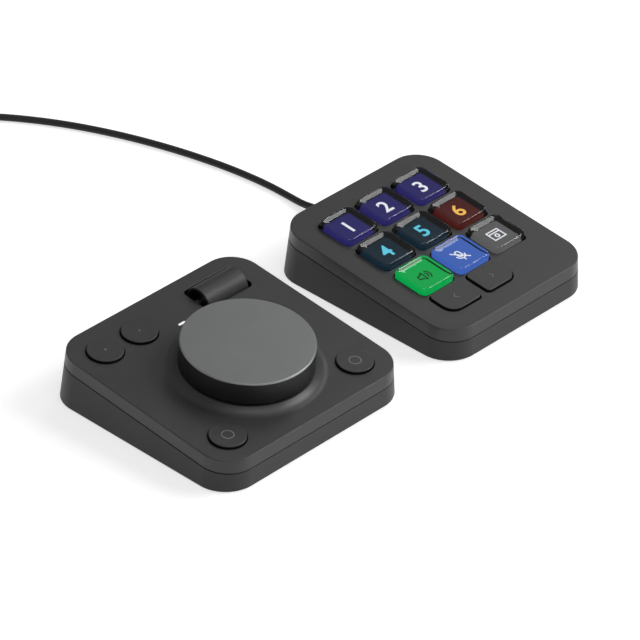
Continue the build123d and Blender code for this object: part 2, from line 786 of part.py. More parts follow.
# Base, with the battery bay, the holes for the underside controls and the board posts
post_x = dialpad_width / 2 - side_screw_inset
post_y = deck_length / 2 - side_screw_inset
dialpad_posts = [(-post_x, 0), (post_x, dial_y), (0, -post_y), (-back_screw_x - corner_inset, post_y)]
underside = dialpad.floor()
with BuildPart() as dialpad_base:
    add(base_shell(dialpad))
    add(board_posts(dialpad, board_depth, dialpad_posts))
    add(block(dialpad.floor(floor_thickness / 2), bay_x, bay_y, bay_length + 2 * bay_wall,
              bay_width + 2 * bay_wall, bay_height))
    add(block(dialpad.floor(-foot_height), bay_x, bay_y, bay_length, bay_width, 2 * bay_height),
        mode=Mode.SUBTRACT)
    for hook_x in (bay_x - hook_spread / 2, bay_x + hook_spread / 2):
        add(block(dialpad.floor(floor_thickness - hook_thickness - door_clearance), hook_x,
                  bay_y - bay_width / 2, hook_width + 2 * door_clearance,
                  2 * (2 * door_clearance + bay_wall / 2), hook_thickness + 4 * door_clearance),
            mode=Mode.SUBTRACT)
    with BuildSketch(underside):
        with Locations((power_x, power_y)):
            Rectangle(knob_length + power_travel + 2 * door_clearance,
                      knob_width + 2 * door_clearance)
        with Locations((pairing_x, pairing_y)):
            Circle(pairing_radius + door_clearance)
    extrude(amount=2 * floor_thickness, mode=Mode.SUBTRACT)
finish(dialpad_base.part, "dialpad_base")

with BuildPart() as dialpad_feet:
    add(feet_pads(dialpad))
finish(dialpad_feet.part, "dialpad_feet")

with BuildPart() as dialpad_screws:
    add(screw_set(dialpad))
finish(dialpad_screws.part, "dialpad_screws")

# Board: open over the batteries, round the dial's bush and for the roller's cradle
with BuildPart() as board_cutouts:
    board_base = dialpad.deck(-board_depth - board_thickness)
    battery_cut = (bay_width + battery_pitch) / 2
    add(block(board_base, bay_x, bay_y + (battery_pitch - battery_cut) / 2,
              bay_length + 2 * bay_clearance, battery_cut, 2 * board_thickness))
    cradle_cut = deck_length / 2 - roller_place[1] + cradle_width / 2 + cutout_margin
    add(block(board_base, roller_x, (deck_length - cradle_cut) / 2,
              cradle_length + 2 * cutout_margin, cradle_cut, 2 * board_thickness))
    add(revolved([(0, -2 * board_depth), (bush_boss_radius + board_margin, -2 * board_depth),
                  (bush_boss_radius + board_margin, 0), (0, 0)], dial_axis, dial_plane))
with BuildPart() as dialpad_board:
    add(board(dialpad, board_depth, board_cutouts.part.solids()))
finish(dialpad_board.part, "dialpad_board")

with BuildPart() as button_switches:
    with BuildSketch(dialpad.deck(-board_depth)):
        with Locations(*button_places.values()):
            Rectangle(switch_size, switch_size)
    extrude(amount=switch_height)
finish(button_switches.part, "button_switches")

# Round buttons
for name, place in button_places.items():
    with BuildPart() as round_button:
        extrude(discs(dialpad.deck(-flange_bottom), [place], button_radius + button_flange),
                amount=flange_thickness)
        extrude(discs(dialpad.deck(-flange_bottom), [place], button_radius),
                amount=flange_bottom + button_proud)
        fillet(faces().sort_by(deck_normal)[-1].edges(), button_round)
    finish(round_button.part, f"round_button_{name}")

# Dial: a black skirt with a metal face, on a steel shaft that turns in a bush
skirt_bottom = collar_top + dial_gap
skirt_top = dial_top - dial_cap_thickness
hub_bottom = bush_top + dial_gap
plate_bottom = skirt_top - dial_wall
hub_radius = 2 * shaft_radius
with BuildPart() as dial_skirt:
    add(revolved([(shaft_radius, hub_bottom), (hub_radius, hub_bottom), (hub_radius, plate_bottom),
                  (dial_radius - dial_wall, plate_bottom), (dial_radius - dial_wall, skirt_bottom),
                  (dial_radius - dial_cap_chamfer, skirt_bottom),
                  (dial_radius, skirt_bottom + dial_cap_chamfer), (dial_radius, skirt_top),
                  (shaft_radius, skirt_top)], dial_axis, dial_plane))
finish(dial_skirt.part, "dial_skirt")

with BuildPart() as dial_face:
    add(revolved([(0, skirt_top), (dial_radius, skirt_top),
                  (dial_radius, dial_top - dial_cap_chamfer),
                  (dial_radius - dial_cap_chamfer, dial_top), (0, dial_top)],
                 dial_axis, dial_plane))
finish(dial_face.part, "dial_face")

encoder_top = -board_bottom
shaft_bottom = encoder_top - shaft_dip
with BuildPart() as dial_shaft:
    add(revolved([(0, shaft_bottom), (shaft_radius, shaft_bottom), (shaft_radius, skirt_top),
                  (0, skirt_top)], dial_axis, dial_plane))
finish(dial_shaft.part, "dial_shaft")

with BuildPart() as dial_bush:
    add(revolved([(shaft_radius + running_clearance, bush_bottom), (bush_radius, bush_bottom),
                  (bush_radius, bush_top), (shaft_radius + running_clearance, bush_top)],
                 dial_axis, dial_plane))
finish(dial_bush.part, "dial_bush")

with BuildPart() as dial_encoder:
    with BuildSketch(dialpad.deck(encoder_top)):
        with Locations((0, dial_y)):
            Rectangle(encoder_size + 2 * encoder_ear, encoder_size)
            Circle(shaft_radius + running_clearance, mode=Mode.SUBTRACT)
    extrude(amount=-encoder_height)
finish(dial_encoder.part, "dial_encoder")

# Roller: a barrel with dished ends on an axle, which lies between the cradle and the deck
with BuildPart() as roller:
    add(revolved([(-half_roller, 0), (-half_roller + roller_dish, 0),
                  (-half_roller + roller_dish, roller_radius - roller_rim),
                  (-half_roller, roller_radius - roller_rim),
                  (-half_roller, roller_radius - roller_chamfer),
                  (-half_roller + roller_chamfer, roller_radius),
                  (half_roller - roller_chamfer, roller_radius),
                  (half_roller, roller_radius - roller_chamfer),
                  (half_roller, roller_radius - roller_rim),
                  (half_roller - roller_dish, roller_radius - roller_rim),
                  (half_roller - roller_dish, 0)], roller_axis, roller_plane))
    add(revolved([(-half_roller, 0), (half_roller, 0), (half_roller, axle_radius),
                  (-half_roller, axle_radius)], roller_axis, roller_plane), mode=Mode.SUBTRACT)
finish(roller.part, "roller")

with BuildPart() as roller_axle:
    add(revolved([(-half_axle, 0), (half_axle, 0), (half_axle, axle_radius),
                  (-half_axle, axle_radius)], roller_axis, roller_plane))
finish(roller_axle.part, "roller_axle")

with BuildPart() as roller_cradle:
    with BuildSketch(dialpad.deck(-cradle_bottom)):
        with Locations(roller_place):
            RectangleRounded(cradle_length, cradle_width, trough_corner)
    extrude(amount=cradle_bottom - deck_thickness)
    with BuildSketch(dialpad.deck(-cradle_bottom + cradle_wall)):
        with Locations(roller_place):
            RectangleRounded(trough_length, trough_width, trough_corner)
    extrude(amount=cradle_bottom, mode=Mode.SUBTRACT)
    add(axle_bore, mode=Mode.SUBTRACT)
finish(roller_cradle.part, "roller_cradle")

with BuildPart() as status_light:
    with BuildSketch(dialpad.deck(-board_depth)):
        with Locations((0, light_y)):
            SlotOverall(light_length, light_width)
    extrude(amount=board_depth)
finish(status_light.part, "status_light")

# Batteries lie across the base on the door, between their contacts
bay_left = bay_x - bay_length / 2 + bay_clearance / 2
for number, side in enumerate((-1, 1), start=1):
    base_x = bay_left + contact_thickness + (spring_length if side > 0 else battery_length)
    start = Plane(origin=(dialpad.centre_x + base_x, dialpad.centre_y + bay_y
                          + side * battery_pitch / 2, foot_height + battery_height),
                  x_dir=(0, 1, 0), z_dir=(side, 0, 0))
    with BuildPart() as battery:
        with BuildSketch(start):
            Circle(battery_radius)
        extrude(amount=battery_length - battery_nub_length)
        fillet(edges(), battery_edge)
        with BuildSketch(start.offset(battery_length - battery_nub_length)):
            Circle(battery_nub_radius)
        extrude(amount=battery_nub_length)
    finish(battery.part, f"battery_{number}")

contact_size = 2 * battery_radius - wall
with BuildPart() as battery_contacts:
    for side in (-1, 1):
        cell_y = bay_y + side * battery_pitch / 2
        for end in (-1, 1):
            outer_x = bay_left if end < 0 else bay_left + bay_length - bay_clearance
            plane = Plane(origin=(dialpad.centre_x + outer_x, dialpad.centre_y + cell_y,
                                  foot_height + battery_height), x_dir=(0, 1, 0),
                          z_dir=(-end, 0, 0))
            with BuildSketch(plane):
                Rectangle(contact_size, contact_size)
            extrude(amount=contact_thickness)
            if side == -end:
                foot = plane.offset(contact_thickness)
                add(revolved([(spring_radius - contact_thickness, 0), (spring_radius, 0),
                              (spring_top_radius, spring_length),
                              (spring_top_radius - contact_thickness, spring_length)],
                             Axis(foot.origin, foot.z_dir),
                             Plane(origin=foot.origin, x_dir=(0, 1, 0), z_dir=(0, 0, end))))
finish(battery_contacts.part, "battery_contacts")

# Door: a flush plate that tilts about its hooked front edge, with a finger notch at the back
with BuildPart() as battery_door:
    with BuildSketch(underside):
        with Locations((bay_x, bay_y)):
            Rectangle(bay_length - 2 * door_clearance, bay_width - 2 * door_clearance)
    extrude(amount=floor_thickness)
    with BuildSketch(underside):
        with Locations((bay_x, bay_y + bay_width / 2 - 2 * wall)):
            SlotOverall(bay_width / 2, wall)
    extrude(amount=floor_thickness / 2, mode=Mode.SUBTRACT)
    for hook_x in (bay_x - hook_spread / 2, bay_x + hook_spread / 2):
        add(block(dialpad.floor(floor_thickness - hook_thickness), hook_x,
                  bay_y - bay_width / 2 + door_clearance, hook_width,
                  2 * (door_clearance + bay_wall / 2), hook_thickness))
finish(battery_door.part, "battery_door")

# Slide switch and pairing button, which stand a little proud of the underside
inside = floor_thickness + seat_gap
with BuildPart() as power_switch:
    add(block(dialpad.floor(-knob_proud), power_x - power_travel / 2, power_y, knob_length,
              knob_width, inside + knob_proud + flange_thickness))
    add(block(dialpad.floor(inside), power_x - power_travel / 2, power_y,
              knob_length + 2 * knob_rim, knob_width + 2 * knob_rim, flange_thickness))
finish(power_switch.part, "power_switch")

with BuildPart() as pairing_button:
    with BuildSketch(dialpad.floor(-knob_proud)):
        with Locations((pairing_x, pairing_y)):
            Circle(pairing_radius)
    extrude(amount=inside + knob_proud)
    with BuildSketch(dialpad.floor(inside)):
        with Locations((pairing_x, pairing_y)):
            Circle(pairing_radius + knob_rim)
    extrude(amount=flange_thickness)
finish(pairing_button.part, "pairing_button")

# Their switches bridge them from the floor
bridge_height = inside + flange_thickness + pairing_travel + seat_gap
with BuildPart() as underside_switches:
    for x, y, width, length in (
        (power_x, power_y, knob_length, knob_width),
        (pairing_x, pairing_y, pairing_radius, 2 * pairing_radius),
    ):
        reach = length + 2 * knob_rim + 2 * door_clearance
        for side in (-1, 1):
            add(block(dialpad.floor(floor_thickness), x, y + side * (reach + wall / 2) / 2,
                      width, wall / 2, bridge_height - floor_thickness))
        add(block(dialpad.floor(bridge_height), x, y, width, reach + wall, wall))
finish(underside_switches.part, "underside_switches")
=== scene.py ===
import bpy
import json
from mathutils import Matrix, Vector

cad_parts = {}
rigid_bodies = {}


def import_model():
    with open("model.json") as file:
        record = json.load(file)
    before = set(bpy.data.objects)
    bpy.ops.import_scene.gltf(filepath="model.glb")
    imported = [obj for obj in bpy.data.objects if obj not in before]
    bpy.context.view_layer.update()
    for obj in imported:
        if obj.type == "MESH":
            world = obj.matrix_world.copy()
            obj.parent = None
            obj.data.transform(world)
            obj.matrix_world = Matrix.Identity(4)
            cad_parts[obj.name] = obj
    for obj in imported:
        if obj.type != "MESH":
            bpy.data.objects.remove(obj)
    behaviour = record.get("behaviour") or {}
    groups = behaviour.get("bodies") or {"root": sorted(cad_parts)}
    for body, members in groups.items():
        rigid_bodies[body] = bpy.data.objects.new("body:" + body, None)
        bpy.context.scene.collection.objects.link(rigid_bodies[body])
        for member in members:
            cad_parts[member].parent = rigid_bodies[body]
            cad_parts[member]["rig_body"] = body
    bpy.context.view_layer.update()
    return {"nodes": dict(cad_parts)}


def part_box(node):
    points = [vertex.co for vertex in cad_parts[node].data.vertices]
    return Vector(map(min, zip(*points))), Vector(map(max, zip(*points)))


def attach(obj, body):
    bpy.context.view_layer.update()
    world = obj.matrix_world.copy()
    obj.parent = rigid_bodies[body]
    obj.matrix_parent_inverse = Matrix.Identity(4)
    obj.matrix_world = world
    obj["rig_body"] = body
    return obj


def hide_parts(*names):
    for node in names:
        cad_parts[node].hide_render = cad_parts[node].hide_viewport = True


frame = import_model()

import json
import logging
import math
from collections.abc import Callable
from dataclasses import dataclass
from enum import Enum
from functools import cache

import bmesh
import bpy
from mathutils import Matrix, Vector

Point = tuple[float, float, float]
Colour = tuple[float, float, float]
Pair = tuple[float, float]
Line = tuple[float, float, float, float]

LOG = logging.getLogger("control_set")
HOUSINGS = "housings"
MM = 0.001
WHOLE_TURN = 360.0
# Points nearer than this become one.
MERGE = 0.001 * MM
# Faces that meet at less than this are shaded as one curve: on the walls, and elsewhere.
WALL_ANGLE = 25.0
EDGE_ANGLE = 35.0
# Faces round a corner, and across a softened edge.
CORNER_SEGMENTS = 8
EDGE_SEGMENTS = 3
# A noise texture seldom leaves this range.
NOISE_RANGE = (0.3, 0.7)
# A ring of the wave texture is this wide at a scale of 1.
WAVE_WIDTH = 0.314


# ------------------------------ Finishes
class NodeGraph:
    """Nodes of one material or world, added and joined by short calls."""

    def __init__(self, owner: bpy.types.Material | bpy.types.World,
                 shader: str = "Principled BSDF") -> None:
        """Starts the nodes.

        Args:
            owner: The new material or world.
            shader: Name of the shader that it comes with.
        """
        owner.use_nodes = True
        self.tree = owner.node_tree
        self.shader = self.tree.nodes[shader]

    def add(self, kind: str, inputs: dict | None = None, **settings: object) -> bpy.types.Node:
        """Adds a node.

        Args:
            kind: Blender's name of the node type.
            inputs: Values, or sockets to join, by the name or number of the input.
            **settings: Properties of the node.

        Returns:
            The new node.
        """
        node = self.tree.nodes.new(kind)
        for name, value in settings.items():
            setattr(node, name, value)
        self.join(node, inputs or {})
        return node

    def join(self, node: bpy.types.Node, inputs: dict) -> None:
        """Sets or joins inputs of a node.

        Args:
            node: The node whose inputs change.
            inputs: Values, or sockets to join, by the name or number of the input.
        """
        for name, value in inputs.items():
            if isinstance(value, bpy.types.NodeSocket):
                self.tree.links.new(value, node.inputs[name])
            else:
                node.inputs[name].default_value = value

    def coordinates(self) -> bpy.types.NodeSocket:
        """Returns the piece's own coordinates, in metres."""
        return self.add("ShaderNodeTexCoord").outputs["Object"]

    def noise(self, size: float, detail: float = 2.0) -> bpy.types.NodeSocket:
        """Returns a noise value whose lumps measure about size metres."""
        inputs = {"Vector": self.coordinates(), "Scale": 1 / size, "Detail": detail}
        return self.add("ShaderNodeTexNoise", inputs).outputs["Fac"]

    def spread(self, value: bpy.types.NodeSocket, before: Pair, after: Pair) -> bpy.types.NodeSocket:
        """Returns a value moved from one range to another, and kept inside it."""
        inputs = {"Value": value, "From Min": before[0], "From Max": before[1],
                  "To Min": after[0], "To Max": after[1]}
        return self.add("ShaderNodeMapRange", inputs).outputs["Result"]

    def ramp(self, value: bpy.types.NodeSocket, low: float, high: float) -> bpy.types.NodeSocket:
        """Returns a noise value spread between two numbers."""
        return self.spread(value, NOISE_RANGE, (low, high))

    def drifted(self, middle: float, value: bpy.types.NodeSocket, drift: Pair) -> bpy.types.NodeSocket:
        """Returns a number that a noise value lowers and raises."""
        return self.ramp(value, middle + drift[0], middle + drift[1])

    def shade(self, colour: Colour, value: bpy.types.NodeSocket, share: float) -> bpy.types.NodeSocket:
        """Returns a colour that a noise value lightens and darkens by a share."""
        factor = self.ramp(value, 1 - share, 1 + share)
        return self.add("ShaderNodeVectorMath", {0: colour, "Scale": factor},
                        operation="SCALE").outputs["Vector"]

    def bump(self, height: bpy.types.NodeSocket, depth: float, strength: float = 1.0) -> None:
        """Roughens the surface by a height value, depth metres from low to high."""
        made = self.add("ShaderNodeBump", {"Height": height, "Distance": depth, "Strength": strength})
        self.join(self.shader, {"Normal": made.outputs["Normal"]})


@dataclass(frozen=True)
class Finish:
    """Finish of a surface. Lengths in metres.

    In its kinds, drift, grain and speckle are sizes of lumps, and mottle and gloss_drift say how much
    the colour and the roughness change. Relief is the depth of the bump.
    """

    name: str

    def dress(self, graph: NodeGraph) -> None:
        """Sets the shader of a new material, and adds its nodes."""
        raise NotImplementedError

    def build(self) -> bpy.types.Material:
        """Makes the finish's material.

        Returns:
            The material.
        """
        material = bpy.data.materials.new(self.name)
        self.dress(NodeGraph(material))
        return material


@dataclass(frozen=True)
class MouldedPlastic(Finish):
    """Injection-moulded plastic with a fine spark-eroded grain."""

    colour: Colour
    roughness: float = 0.5
    specular: float = 0.5
    grain: float = 0.25 * MM
    grain_detail: float = 3.0
    relief: float = 0.012 * MM
    drift: float = 14 * MM
    mottle: float = 0.05
    gloss_drift: Pair = (-0.04, 0.04)

    def dress(self, graph: NodeGraph) -> None:
        """Makes the grain as bump, with slow drifts of colour and roughness.

        Args:
            graph: Nodes of the new material.
        """
        drift = graph.noise(self.drift)
        graph.join(graph.shader, {
            "Base Color": graph.shade(self.colour, drift, self.mottle),
            "Roughness": graph.drifted(self.roughness, drift, self.gloss_drift),
            "Specular IOR Level": self.specular,
        })
        graph.bump(graph.noise(self.grain, self.grain_detail), self.relief)


@dataclass(frozen=True)
class Rubber(Finish):
    """Dull rubber, or a cord's jacket."""

    colour: Colour
    roughness: float = 0.72
    specular: float = 0.35
    speckle: float = 0.6 * MM
    speckle_detail: float = 4.0
    relief: float = 0.02 * MM
    relief_strength: float = 0.6
    drift: float = 5 * MM
    mottle: float = 0.18
    gloss_drift: Pair = (-0.08, 0.06)

    def dress(self, graph: NodeGraph) -> None:
        """Makes two sizes of dull speckle.

        Args:
            graph: Nodes of the new material.
        """
        speckle = graph.noise(self.speckle, self.speckle_detail)
        graph.join(graph.shader, {
            "Base Color": graph.shade(self.colour, speckle, self.mottle),
            "Roughness": graph.drifted(self.roughness, graph.noise(self.drift), self.gloss_drift),
            "Specular IOR Level": self.specular,
        })
        graph.bump(speckle, self.relief, self.relief_strength)


@dataclass(frozen=True)
class TurnedMetal(Finish):
    """Anodised metal, faced on a lathe, with rings of a fine pitch about an axis."""

    colour: Colour
    centre: Point
    tilt: float
    pitch: float = 0.12 * MM
    roughness: float = 0.36
    metallic: float = 0.85
    relief: float = 0.0012 * MM
    relief_strength: float = 0.5
    drift: float = 18 * MM
    mottle: float = 0.035
    gloss_drift: Pair = (-0.03, 0.03)

    def dress(self, graph: NodeGraph) -> None:
        """Makes the fine rings, and a slow drift of the anodised colour.

        Args:
            graph: Nodes of the new material.
        """
        turn = graph.add("ShaderNodeMapping", {
            "Vector": graph.coordinates(), "Location": self.centre, "Rotation": (self.tilt, 0, 0),
        }, vector_type="TEXTURE")
        rings = graph.add("ShaderNodeTexWave", {
            "Vector": turn.outputs["Vector"], "Scale": WAVE_WIDTH / self.pitch, "Distortion": 0.0,
        }, wave_type="RINGS", rings_direction="Z").outputs["Fac"]
        graph.join(graph.shader, {
            "Base Color": graph.shade(self.colour, graph.noise(self.drift), self.mottle),
            "Metallic": self.metallic,
            "Roughness": graph.drifted(self.roughness, rings, self.gloss_drift),
        })
        graph.bump(rings, self.relief, self.relief_strength)


@dataclass(frozen=True)
class PlainMetal(Finish):
    """Plated or drawn metal with faint scratches, so many to the metre along X, Y and Z."""

    colour: Colour
    roughness: float = 0.3
    scratches: Point = (400.0, 2600.0, 2600.0)
    scratch_detail: float = 3.0
    relief: float = 0.002 * MM
    relief_strength: float = 0.4
    drift: float = 4 * MM
    mottle: float = 0.06
    gloss_drift: Pair = (-0.08, 0.08)

    def dress(self, graph: NodeGraph) -> None:
        """Makes the metal, with a stretched noise for its scratches.

        Args:
            graph: Nodes of the new material.
        """
        stretched = graph.add("ShaderNodeMapping", {
            "Vector": graph.coordinates(), "Scale": self.scratches,
        })
        scratch = graph.add("ShaderNodeTexNoise", {
            "Vector": stretched.outputs["Vector"], "Scale": 1.0, "Detail": self.scratch_detail,
        }).outputs["Fac"]
        graph.join(graph.shader, {
            "Base Color": graph.shade(self.colour, graph.noise(self.drift), self.mottle),
            "Metallic": 1.0,
            "Roughness": graph.drifted(self.roughness, scratch, self.gloss_drift),
        })
        graph.bump(scratch, self.relief, self.relief_strength)


@dataclass(frozen=True)
class ClearPlastic(Finish):
    """Polished clear acrylic, whose faint haze is between two values of roughness."""

    tint: Colour = (0.97, 0.98, 1.0)
    refraction: float = 1.47
    haze: Pair = (0.07, 0.09)
    drift: float = 6 * MM

    def dress(self, graph: NodeGraph) -> None:
        """Makes a clear shader with a slight change of haze.

        Args:
            graph: Nodes of the new material.
        """
        graph.join(graph.shader, {
            "Base Color": (*self.tint, 1),
            "Roughness": graph.ramp(graph.noise(self.drift), *self.haze),
            "IOR": self.refraction,
            "Transmission Weight": 1.0,
        })


@dataclass(frozen=True)
class LitPicture(Finish):
    """Picture on a display that is lit from behind, made of tiny dots. Every other one is dimmed."""

    colour: Colour
    glow: float = 1.0
    dot: float = 0.12 * MM
    dimmed: float = 0.93
    unlit: Colour = (0.004, 0.004, 0.005)
    roughness: float = 0.5

    def dress(self, graph: NodeGraph) -> None:
        """Makes a glowing colour, broken by the display's dots.

        Args:
            graph: Nodes of the new material.
        """
        dots = graph.add("ShaderNodeTexChecker", {
            "Vector": graph.coordinates(), "Scale": 1 / self.dot,
            "Color1": (*self.colour, 1), "Color2": (*(self.dimmed * c for c in self.colour), 1),
        })
        graph.join(graph.shader, {
            "Base Color": (*self.unlit, 1),
            "Roughness": self.roughness,
            "Specular IOR Level": 0.0,
            "Emission Color": dots.outputs["Color"],
            "Emission Strength": self.glow,
        })


@dataclass(frozen=True)
class CircuitBoard(Finish):
    """Lacquered board with faint tracks under the lacquer, of two brightnesses."""

    colour: Colour = (0.012, 0.09, 0.035)
    brighter: float = 1.25
    gap: Colour = (0.03, 0.15, 0.06)
    gap_width: float = 0.03
    tracks_per_metre: float = 160.0
    roughness: float = 0.3

    def dress(self, graph: NodeGraph) -> None:
        """Makes the tracks as a brick pattern under gloss lacquer.

        Args:
            graph: Nodes of the new material.
        """
        tracks = graph.add("ShaderNodeTexBrick", {
            "Vector": graph.coordinates(), "Color1": (*self.colour, 1),
            "Color2": (*(self.brighter * c for c in self.colour), 1), "Mortar": (*self.gap, 1),
            "Scale": self.tracks_per_metre, "Mortar Size": self.gap_width,
        })
        graph.join(graph.shader, {"Base Color": tracks.outputs["Color"], "Roughness": self.roughness})


@dataclass(frozen=True)
class FloorWhite(Finish):
    """Matt white that shows bright, and still takes a shadow.

    Its glow goes from one strength to another between the two distances of its fade.
    """

    colour: Colour = (0.6, 0.6, 0.6)
    roughness: float = 0.9
    glow: Pair = (0.63, 0.95)
    fade: Pair = (0.4, 1.4)

    def dress(self, graph: NodeGraph) -> None:
        """Makes a glow that only the camera sees, straight, in a shine or through something clear.

        Args:
            graph: Nodes of the new material.
        """
        ray = graph.add("ShaderNodeLightPath").outputs
        mirrored = graph.add("ShaderNodeMath", {0: ray["Is Glossy Ray"], 1: ray["Is Transmission Ray"]},
                             operation="MAXIMUM").outputs[0]
        bright = graph.add("ShaderNodeMath", {0: mirrored, 1: ray["Is Camera Ray"]},
                           operation="MAXIMUM").outputs[0]
        reach = graph.add("ShaderNodeVectorMath", {0: graph.coordinates()}, operation="LENGTH")
        level = graph.spread(reach.outputs["Value"], self.fade, self.glow)
        glow = graph.add("ShaderNodeMath", {0: bright, 1: level}, operation="MULTIPLY").outputs[0]
        graph.join(graph.shader, {
            "Base Color": (*self.colour, 1), "Roughness": self.roughness, "Specular IOR Level": 0.0,
            "Emission Color": (1, 1, 1, 1), "Emission Strength": glow,
        })


class Palette(Enum):
    """The set's finishes, by the part of it that they belong to."""

    HOUSING = MouldedPlastic("graphite_moulding", (0.038, 0.038, 0.038), 0.4)
    BASE = MouldedPlastic("graphite_base_moulding", (0.052, 0.052, 0.052), 0.48, specular=0.3)
    BUTTON = MouldedPlastic("graphite_button", (0.036, 0.036, 0.036), 0.4, grain=0.2 * MM)
    SKIRT = MouldedPlastic("black_skirt", (0.008, 0.008, 0.0085), 0.42, relief=0.006 * MM)
    ROLLER = MouldedPlastic("grey_roller", (0.038, 0.038, 0.039), 0.48, specular=0.35, relief=0.008 * MM)
    # Black of the inner parts, and painted shade: the black given to faces in gaps, holes and recesses
    # where shade falls.
    INNER_AND_SHADE = MouldedPlastic("black_inner_moulding_and_painted_shade", (0.004, 0.004, 0.004), 0.6, specular=0.2)
    SWITCH = MouldedPlastic("black_switch", (0.015, 0.015, 0.016), 0.45)
    PLUG = MouldedPlastic("plug_grip_moulding", (0.06, 0.06, 0.061), 0.48)
    SLEEVE = MouldedPlastic("battery_sleeve", (0.1, 0.11, 0.13), 0.3, relief=0.002 * MM)
    KEY = ClearPlastic("clear_key")
    DISPLAY = LitPicture("dark_display", (0.002, 0.002, 0.003), 0.5)
    LIGHT = LitPicture("status_light_white", (0.95, 0.95, 0.93), 1.0)
    FOOT = Rubber("foot_rubber", (0.02, 0.02, 0.02))
    MAT = Rubber("mat_rubber", (0.012, 0.012, 0.012))
    JACKET = Rubber("cord_jacket", (0.022, 0.022, 0.023), 0.55)
    STEEL = PlainMetal("plain_steel", (0.45, 0.45, 0.46))
    BUSH = PlainMetal("bush_brass", (0.55, 0.4, 0.16), 0.35)
    CONNECTOR = PlainMetal("plated_connector", (0.55, 0.55, 0.57), 0.22)
    BOARD = CircuitBoard("lacquered_board")
    PRINT = MouldedPlastic("grey_print", (0.2, 0.2, 0.2), 0.6, relief=0.002 * MM)


@cache
def material_of(finish: Finish | Palette) -> bpy.types.Material:
    """Builds a finish's material once.

    Args:
        finish: A finish, or a Palette entry that holds one.

    Returns:
        The material.
    """
    return (finish.value if isinstance(finish, Palette) else finish).build()


# ------------------------------ Meshes
def mesh_of(bm: bmesh.types.BMesh, name: str) -> bpy.types.Mesh:
    """Turns a bmesh into a mesh.

    Args:
        bm: It is freed.
        name: Name of the mesh.

    Returns:
        The new mesh.
    """
    mesh = bpy.data.meshes.new(name)
    bm.to_mesh(mesh)
    bm.free()
    return mesh


def shown(name: str, data: bpy.types.ID) -> bpy.types.Object:
    """Stands a mesh, curve, lamp or camera in the scene.

    Args:
        name: Name of the new object.
        data: What it holds.

    Returns:
        The new object.
    """
    thing = bpy.data.objects.new(name, data)
    bpy.context.scene.collection.objects.link(thing)
    return thing


def finished(bm: bmesh.types.BMesh, name: str, body: str, finish: Finish | Palette,
             angle: float = EDGE_ANGLE, replaces: tuple[str, ...] = ()) -> bpy.types.Object:
    """Turns a bmesh into a piece that rides on a body.

    Args:
        bm: The mesh, already in its place. It is freed.
        name: Name of the piece.
        body: Body that it rides on.
        finish: Its finish.
        angle: Largest angle, in degrees, that is shaded smooth.
        replaces: CAD nodes that the piece stands for.

    Returns:
        The new object.
    """
    mesh = mesh_of(bm, name)
    mesh.shade_smooth()
    mesh.set_sharp_from_angle(angle=math.radians(angle))
    mesh.materials.append(material_of(finish))
    piece = shown(name, mesh)
    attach(piece, body)
    if replaces:
        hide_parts(*replaces)
    LOG.info("%s on %s, %d faces", name, body, len(mesh.polygons))
    return piece


def smooth_copy(node: str, finish: Finish | Palette, angle: float = EDGE_ANGLE,
                painted_shade: Callable[[bmesh.types.BMFace], bool] | None = None,
                lowest: float | None = None) -> bpy.types.Object:
    """Stands a copy of a CAD node in its place, with its triangles joined and its curves smooth.

    Args:
        node: Name of the CAD node.
        finish: Finish of the copy.
        angle: Largest angle, in degrees, that is shaded smooth.
        painted_shade: Tells which faces get the black of painted shade, where they lie inside the piece or
            down in a gap.
        lowest: Height that the copy's lowest point is brought up to.

    Returns:
        The new object.
    """
    source = frame["nodes"][node]
    bm = bmesh.new()
    bm.from_mesh(source.data)
    bmesh.ops.remove_doubles(bm, verts=bm.verts, dist=MERGE)
    if lowest is not None:
        low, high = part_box(node)
        shorter = Matrix.Diagonal((1, 1, (high.z - lowest) / (high.z - low.z), 1))
        bmesh.ops.transform(bm, matrix=shorter, space=Matrix.Translation((0, 0, -high.z)), verts=bm.verts)
    # Faces that the test picks take the second material, black as painted shade.
    for face in bm.faces:
        face.material_index = int(painted_shade is not None and painted_shade(face))
    piece = finished(bm, f"{node}_dressed", source["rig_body"], finish, angle, (node,))
    piece.modifiers.new("level_flats", "WEIGHTED_NORMAL").keep_sharp = True
    if painted_shade is not None:
        piece.data.materials.append(material_of(Palette.INNER_AND_SHADE))
    return piece


def paint(finishes: dict[str, Palette]) -> None:
    """Gives CAD nodes their finishes where they stand.

    Args:
        finishes: Each node's finish, by its name.
    """
    for node, finish in finishes.items():
        mesh = frame["nodes"][node].data
        mesh.materials.clear()
        mesh.materials.append(material_of(finish))


def spun(points: list[Pair], place: Matrix, steps: int) -> bmesh.types.BMesh:
    """Spins a profile about the place's Z axis.

    Args:
        points: Corners of the profile as (radius, height), from axis to axis or round a ring.
        place: Where the axis stands.
        steps: Faces round the axis.

    Returns:
        A closed mesh.
    """
    bm = bmesh.new()
    verts = [bm.verts.new((radius, 0, height)) for radius, height in points]
    edges = [bm.edges.new(pair) for pair in zip(verts, verts[1:])]
    bmesh.ops.spin(bm, geom=verts + edges, axis=(0, 0, 1), cent=(0, 0, 0), angle=math.tau, steps=steps,
                   use_merge=True)
    bmesh.ops.remove_doubles(bm, verts=bm.verts, dist=MERGE)
    bmesh.ops.recalc_face_normals(bm, faces=bm.faces)
    bmesh.ops.transform(bm, matrix=place, verts=bm.verts)
    return bm


